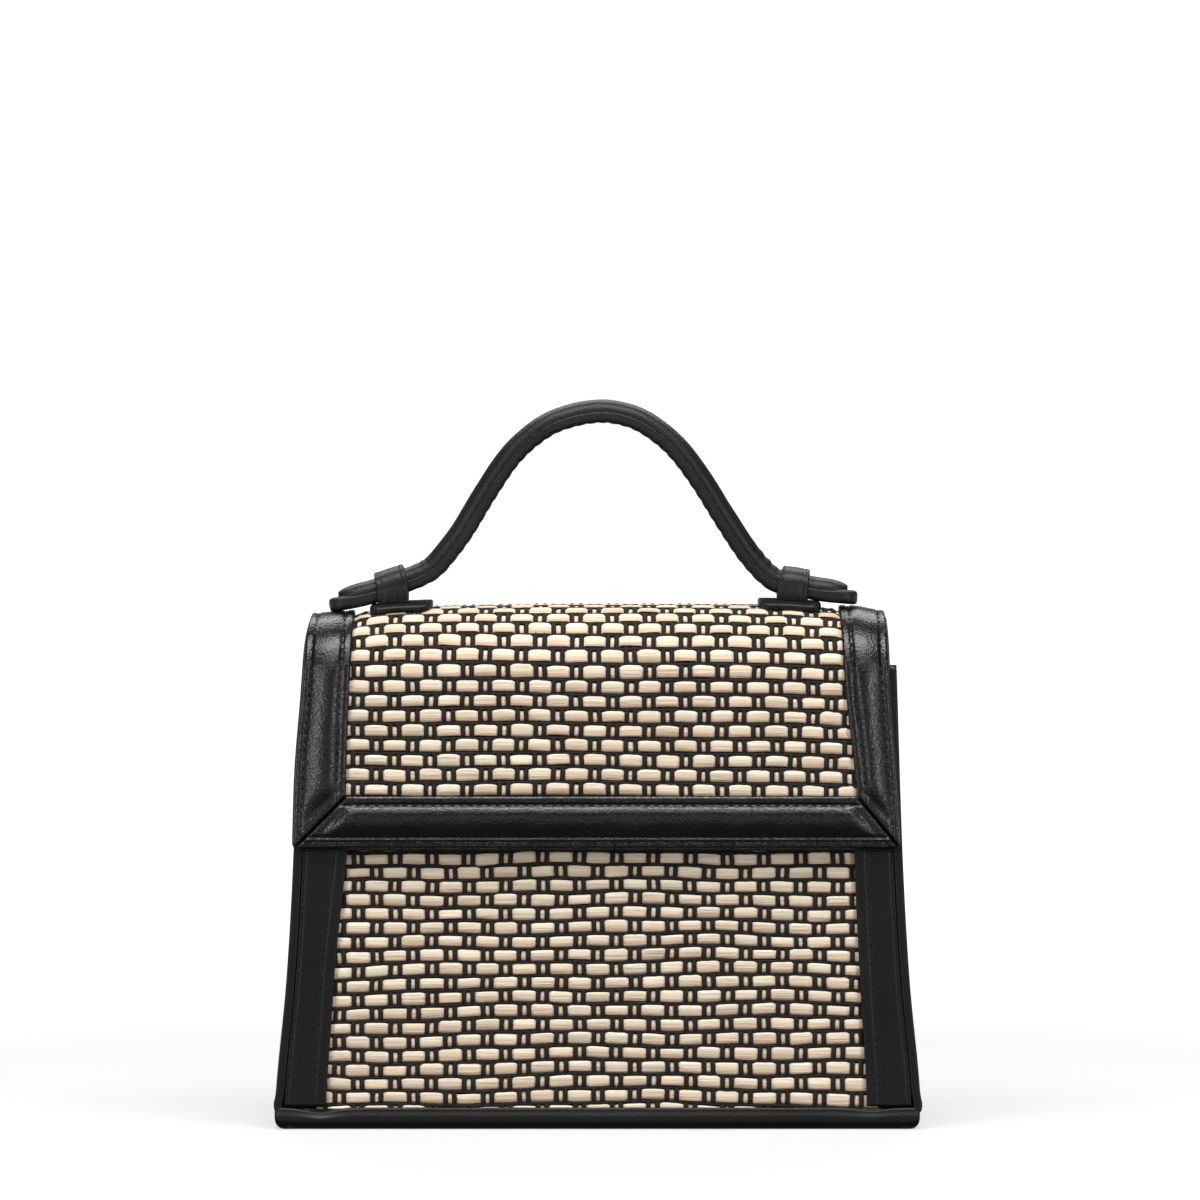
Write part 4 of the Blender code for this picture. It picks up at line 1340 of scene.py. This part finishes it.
def handle_loop(holder, stitches):
    """A loop of leather over the handle, with creases, whose legs stand on the tab."""
    middle = holder["loop"] * HANDLE_SPAN / 2
    inner = HANDLE_WIDTH / 2 + FIT
    outer = inner + LOOP_WALL
    tab_top = TRIM_OVER_PANEL + TAB_WALL
    crown = ROLL_HEIGHT + 2 * FIT
    turns = np.linspace(0, math.pi, 33)
    offsets = spaced(LOOP_LENGTH, 0.0006, 0.0007)
    x = middle + offsets - LOOP_LENGTH / 2
    seam, up = handle_frame(x)
    rim = np.minimum(offsets, LOOP_LENGTH - offsets)
    lowered = fillet(rim, 0.0007) + 0.5 * valley(rim - LOOP_SEAM)
    crease = LOOP_CREASE * np.sin(2 * math.pi * offsets / 0.0031)

    def arch(half, height):
        rise = np.sin(turns)[None, :] ** 0.8 * height[:, None]
        ring = seam[:, None, :] + up[:, None, :] * rise[..., None]
        ring[..., 1] += -np.cos(turns)[None, :] * half[:, None]
        return ring

    def leg(half, facing):
        """The side of a leg, from the tab up to just under the seam line."""
        share = np.linspace(0, 1, 7)
        top = seam.copy()
        top[:, 1] += facing * half
        foot = points(x, TOP_Y + facing * half, flap_top_z(x, TOP_Y + facing * half, tab_top) + FIT)
        bulge = LOOP_BULGE * np.sin(math.pi * share)
        side = foot[:, None, :] + (top - foot)[:, None, :] * share[None, :, None]
        side[..., 1] += facing * (bulge[None, :] + (crease[:, None] * np.sin(math.pi * share)[None, :]))
        return side[:, :-1]

    def over(half, height):
        """From one foot up, over the handle and down to the other foot."""
        return np.concatenate([leg(half, -1), arch(half, height), leg(half, 1)[:, ::-1]], axis=1)

    path = over(outer - lowered, crown + LOOP_WALL - lowered)
    inside = over(np.full_like(x, inner), np.full_like(x, crown))
    rings = np.concatenate([path, inside[:, ::-1]], axis=1)
    side = holder["side"]
    piece(rings, "loop_leather_" + side, HANDLE_LEATHER, "black_leather", ["handle_loop_" + side])
    for edge in (LOOP_SEAM, LOOP_LENGTH - LOOP_SEAM):
        at = int(np.argmin(np.abs(offsets - edge)))
        line = path[at]
        tangent = np.gradient(line, axis=0)
        tangent /= np.linalg.norm(tangent, axis=1)[:, None]
        along = path[min(at + 1, len(path) - 1)] - path[max(at - 1, 0)]
        normal = np.cross(tangent, along)
        normal /= np.linalg.norm(normal, axis=1)[:, None]
        normal *= np.sign(np.einsum("ij,ij->i", normal, line - seam[at]))[:, None]
        stitch_row(stitches, line, normal, LOOP_STITCH_PITCH, LOOP_STITCH_LENGTH, LOOP_STITCH_RADIUS)


def loop_tab(holder):
    """A tab with rounded corners and edges that lies over the top of the flap."""
    middle = holder["tab"] * HANDLE_SPAN / 2

    def half(row):
        inset = np.minimum(row, TAB_REACH - row)
        return TAB_WIDTH / 2 - fillet(inset, TAB_CORNER_RADIUS)

    def place(across, row, height):
        s = TOP_MIDDLE + row - TAB_REACH / 2
        return flap_point(middle + across * half(row), s, TRIM_OVER_PANEL + height)

    def rim(across, row):
        return np.minimum((1 - np.abs(across)) * TAB_WIDTH / 2, np.minimum(row, TAB_REACH - row))

    def top(across, row):
        return TAB_WALL - fillet(rim(across, row), TAB_EDGE_RADIUS)

    def under(across, row):
        return fillet(rim(across, row), 0.0005)

    across = spaced(TAB_WIDTH, 0.0008, TAB_EDGE_RADIUS) / (TAB_WIDTH / 2) - 1
    along = spaced(TAB_REACH, 0.0008, TAB_CORNER_RADIUS)
    start = TAB_EDGE_RADIUS * np.array([0.05, 0.15, 0.3, 0.5, 0.75, 1.0])
    along = np.unique(np.concatenate([along, start]))
    along = np.unique(np.concatenate([along, TAB_REACH - along[along < TAB_CORNER_RADIUS]]))
    side = holder["side"]
    rings = slab_rings(place, across, along, top, under)
    piece(rings, "tab_leather_" + side, HANDLE_LEATHER, "black_leather", ["loop_tab_" + side])


# Putting it together

base()
wall_cloth("front", -1, BODY_HEIGHT, FLAP_EDGE + 0.008, 0.0062, ["front_panel"])
wall_cloth("back", 1, BACK_HEIGHT, BACK_HEIGHT - 0.002, 0.0062, ["back_panel"])
flap_cloth()
flap_lining()

stitches = {part: Shape() for part in ("flap", "body", "handle")}
for side in ("left", "right"):
    flap_trim_side(side, stitches["flap"])
    wall_strip(-1, side, BODY_HEIGHT, stitches["body"])
    wall_strip(1, side, BACK_HEIGHT, stitches["body"])
    gusset(side)
flap_trim_bottom(stitches["flap"])
handle_strap()
handle_roll(stitches["handle"])
for holder in HOLDERS:
    handle_loop(holder, stitches["handle"])
    loop_tab(holder)
for part, shape in stitches.items():
    shape.make(part + "_stitches", STITCH, "black_leather", [])

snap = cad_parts["magnetic_snap"]
snap.data.materials.clear()
snap.data.materials.append(metal_material())


# Camera, floor and light

CAMERA_DISTANCE = 2.5
CAMERA_ELEVATION = math.radians(3.3)
OBJECT_MIDDLE = Vector((0.0, 0.0, 0.125))
AIM = Vector((0.0007, 0.0, 0.1804))
LENS = 214.87
FLOOR_RADIUS = 12.0
FLOOR_GLOW = 0.55
FAR_GLOW = 1.1
SKY = 0.08
GROUND = 0.12

LAMP_AIM = Vector((0.0, 0.0, 0.1))
LAMPS = table(
    "name place size power",
    ("top", (0.0, -0.5, 1.5), (1.6, 0.7), 32.0),
    ("front", (0.0, -1.3, 1.25), (1.3, 0.4), 5.0),
    ("back", (0.0, 1.2, 1.3), (1.6, 0.5), 12.0),
    ("left", (-1.0, -1.15, 0.5), (0.2, 0.5), 4.2),
    ("right", (1.0, -1.15, 0.5), (0.2, 0.5), 4.2),
)


def make_camera():
    data = bpy.data.cameras.new("camera")
    data.lens = LENS
    data.sensor_width = 36.0
    data.clip_end = 50.0
    made = put_in_scene("camera", data)
    back = Vector((0.0, -math.cos(CAMERA_ELEVATION), math.sin(CAMERA_ELEVATION)))
    made.location = OBJECT_MIDDLE + back * CAMERA_DISTANCE
    made.rotation_euler = (AIM - made.location).to_track_quat("-Z", "Y").to_euler()
    bpy.context.scene.camera = made


def make_floor():
    """A round pale floor that glows a little, as a lit studio table does, out to the bright horizon. The bag
    isn't lit by it but by the world's lower half, which is as dim as the room round such a table."""
    turns = np.linspace(0, 2 * math.pi, 64, endpoint=False)
    mesh = bpy.data.meshes.new("floor")
    rim = points(FLOOR_RADIUS * np.cos(turns), FLOOR_RADIUS * np.sin(turns), 0.0)
    mesh.from_pydata(rim.tolist(), [], [list(range(len(turns)))])
    material, tree, shader, place = start_material("floor")
    away = add_node(tree, "ShaderNodeVectorMath", {"operation": "LENGTH"}, {0: place}).outputs["Value"]
    glow = {"Value": away, "From Min": 0.3, "From Max": 1.2, "To Min": FLOOR_GLOW, "To Max": FAR_GLOW}
    looks = {
        "Base Color": (0.3, 0.3, 0.3, 1.0),
        "Roughness": 0.9,
        "Specular IOR Level": 0.0,
        "Emission Color": (1.0, 1.0, 1.0, 1.0),
        "Emission Strength": add_node(tree, "ShaderNodeMapRange", inputs=glow).outputs[0],
    }
    set_inputs(tree, shader, looks)
    mesh.materials.append(material)
    made = put_in_scene("floor", mesh)
    made.visible_diffuse = False
    made.visible_glossy = False


def area_light(name, place, size, power):
    data = bpy.data.lights.new(name, "AREA")
    data.shape = "RECTANGLE"
    data.size, data.size_y = size
    data.energy = power
    made = put_in_scene(name, data)
    made.location = place
    made.rotation_euler = (LAMP_AIM - Vector(place)).to_track_quat("-Z", "Y").to_euler()


def make_world():
    """White round the horizon and dim above and below, so that dark leather reflects a dark room."""
    world = bpy.data.worlds.new("world")
    world.use_nodes = True
    tree = world.node_tree
    direction = add_node(tree, "ShaderNodeTexCoord").outputs["Generated"]
    up = add_node(tree, "ShaderNodeSeparateXYZ", inputs={"Vector": direction}).outputs["Z"]
    height = add_node(tree, "ShaderNodeMapRange", inputs={"Value": up, "From Min": -1.0, "From Max": 1.0})
    bands = [(-1.0, GROUND), (-0.24, GROUND), (-0.12, 1.0), (0.055, 1.0), (0.12, SKY), (1.0, SKY)]
    shade = ramp(tree, height.outputs[0], [((z + 1) / 2, (level,) * 3) for z, level in bands])
    background = tree.nodes["Background"]
    tree.links.new(shade, background.inputs["Color"])
    background.inputs["Strength"].default_value = 1.05
    bpy.context.scene.world = world


make_camera()
make_floor()
make_world()
for lamp in LAMPS:
    area_light(**lamp)
bpy.context.scene.view_settings.view_transform = "Standard"
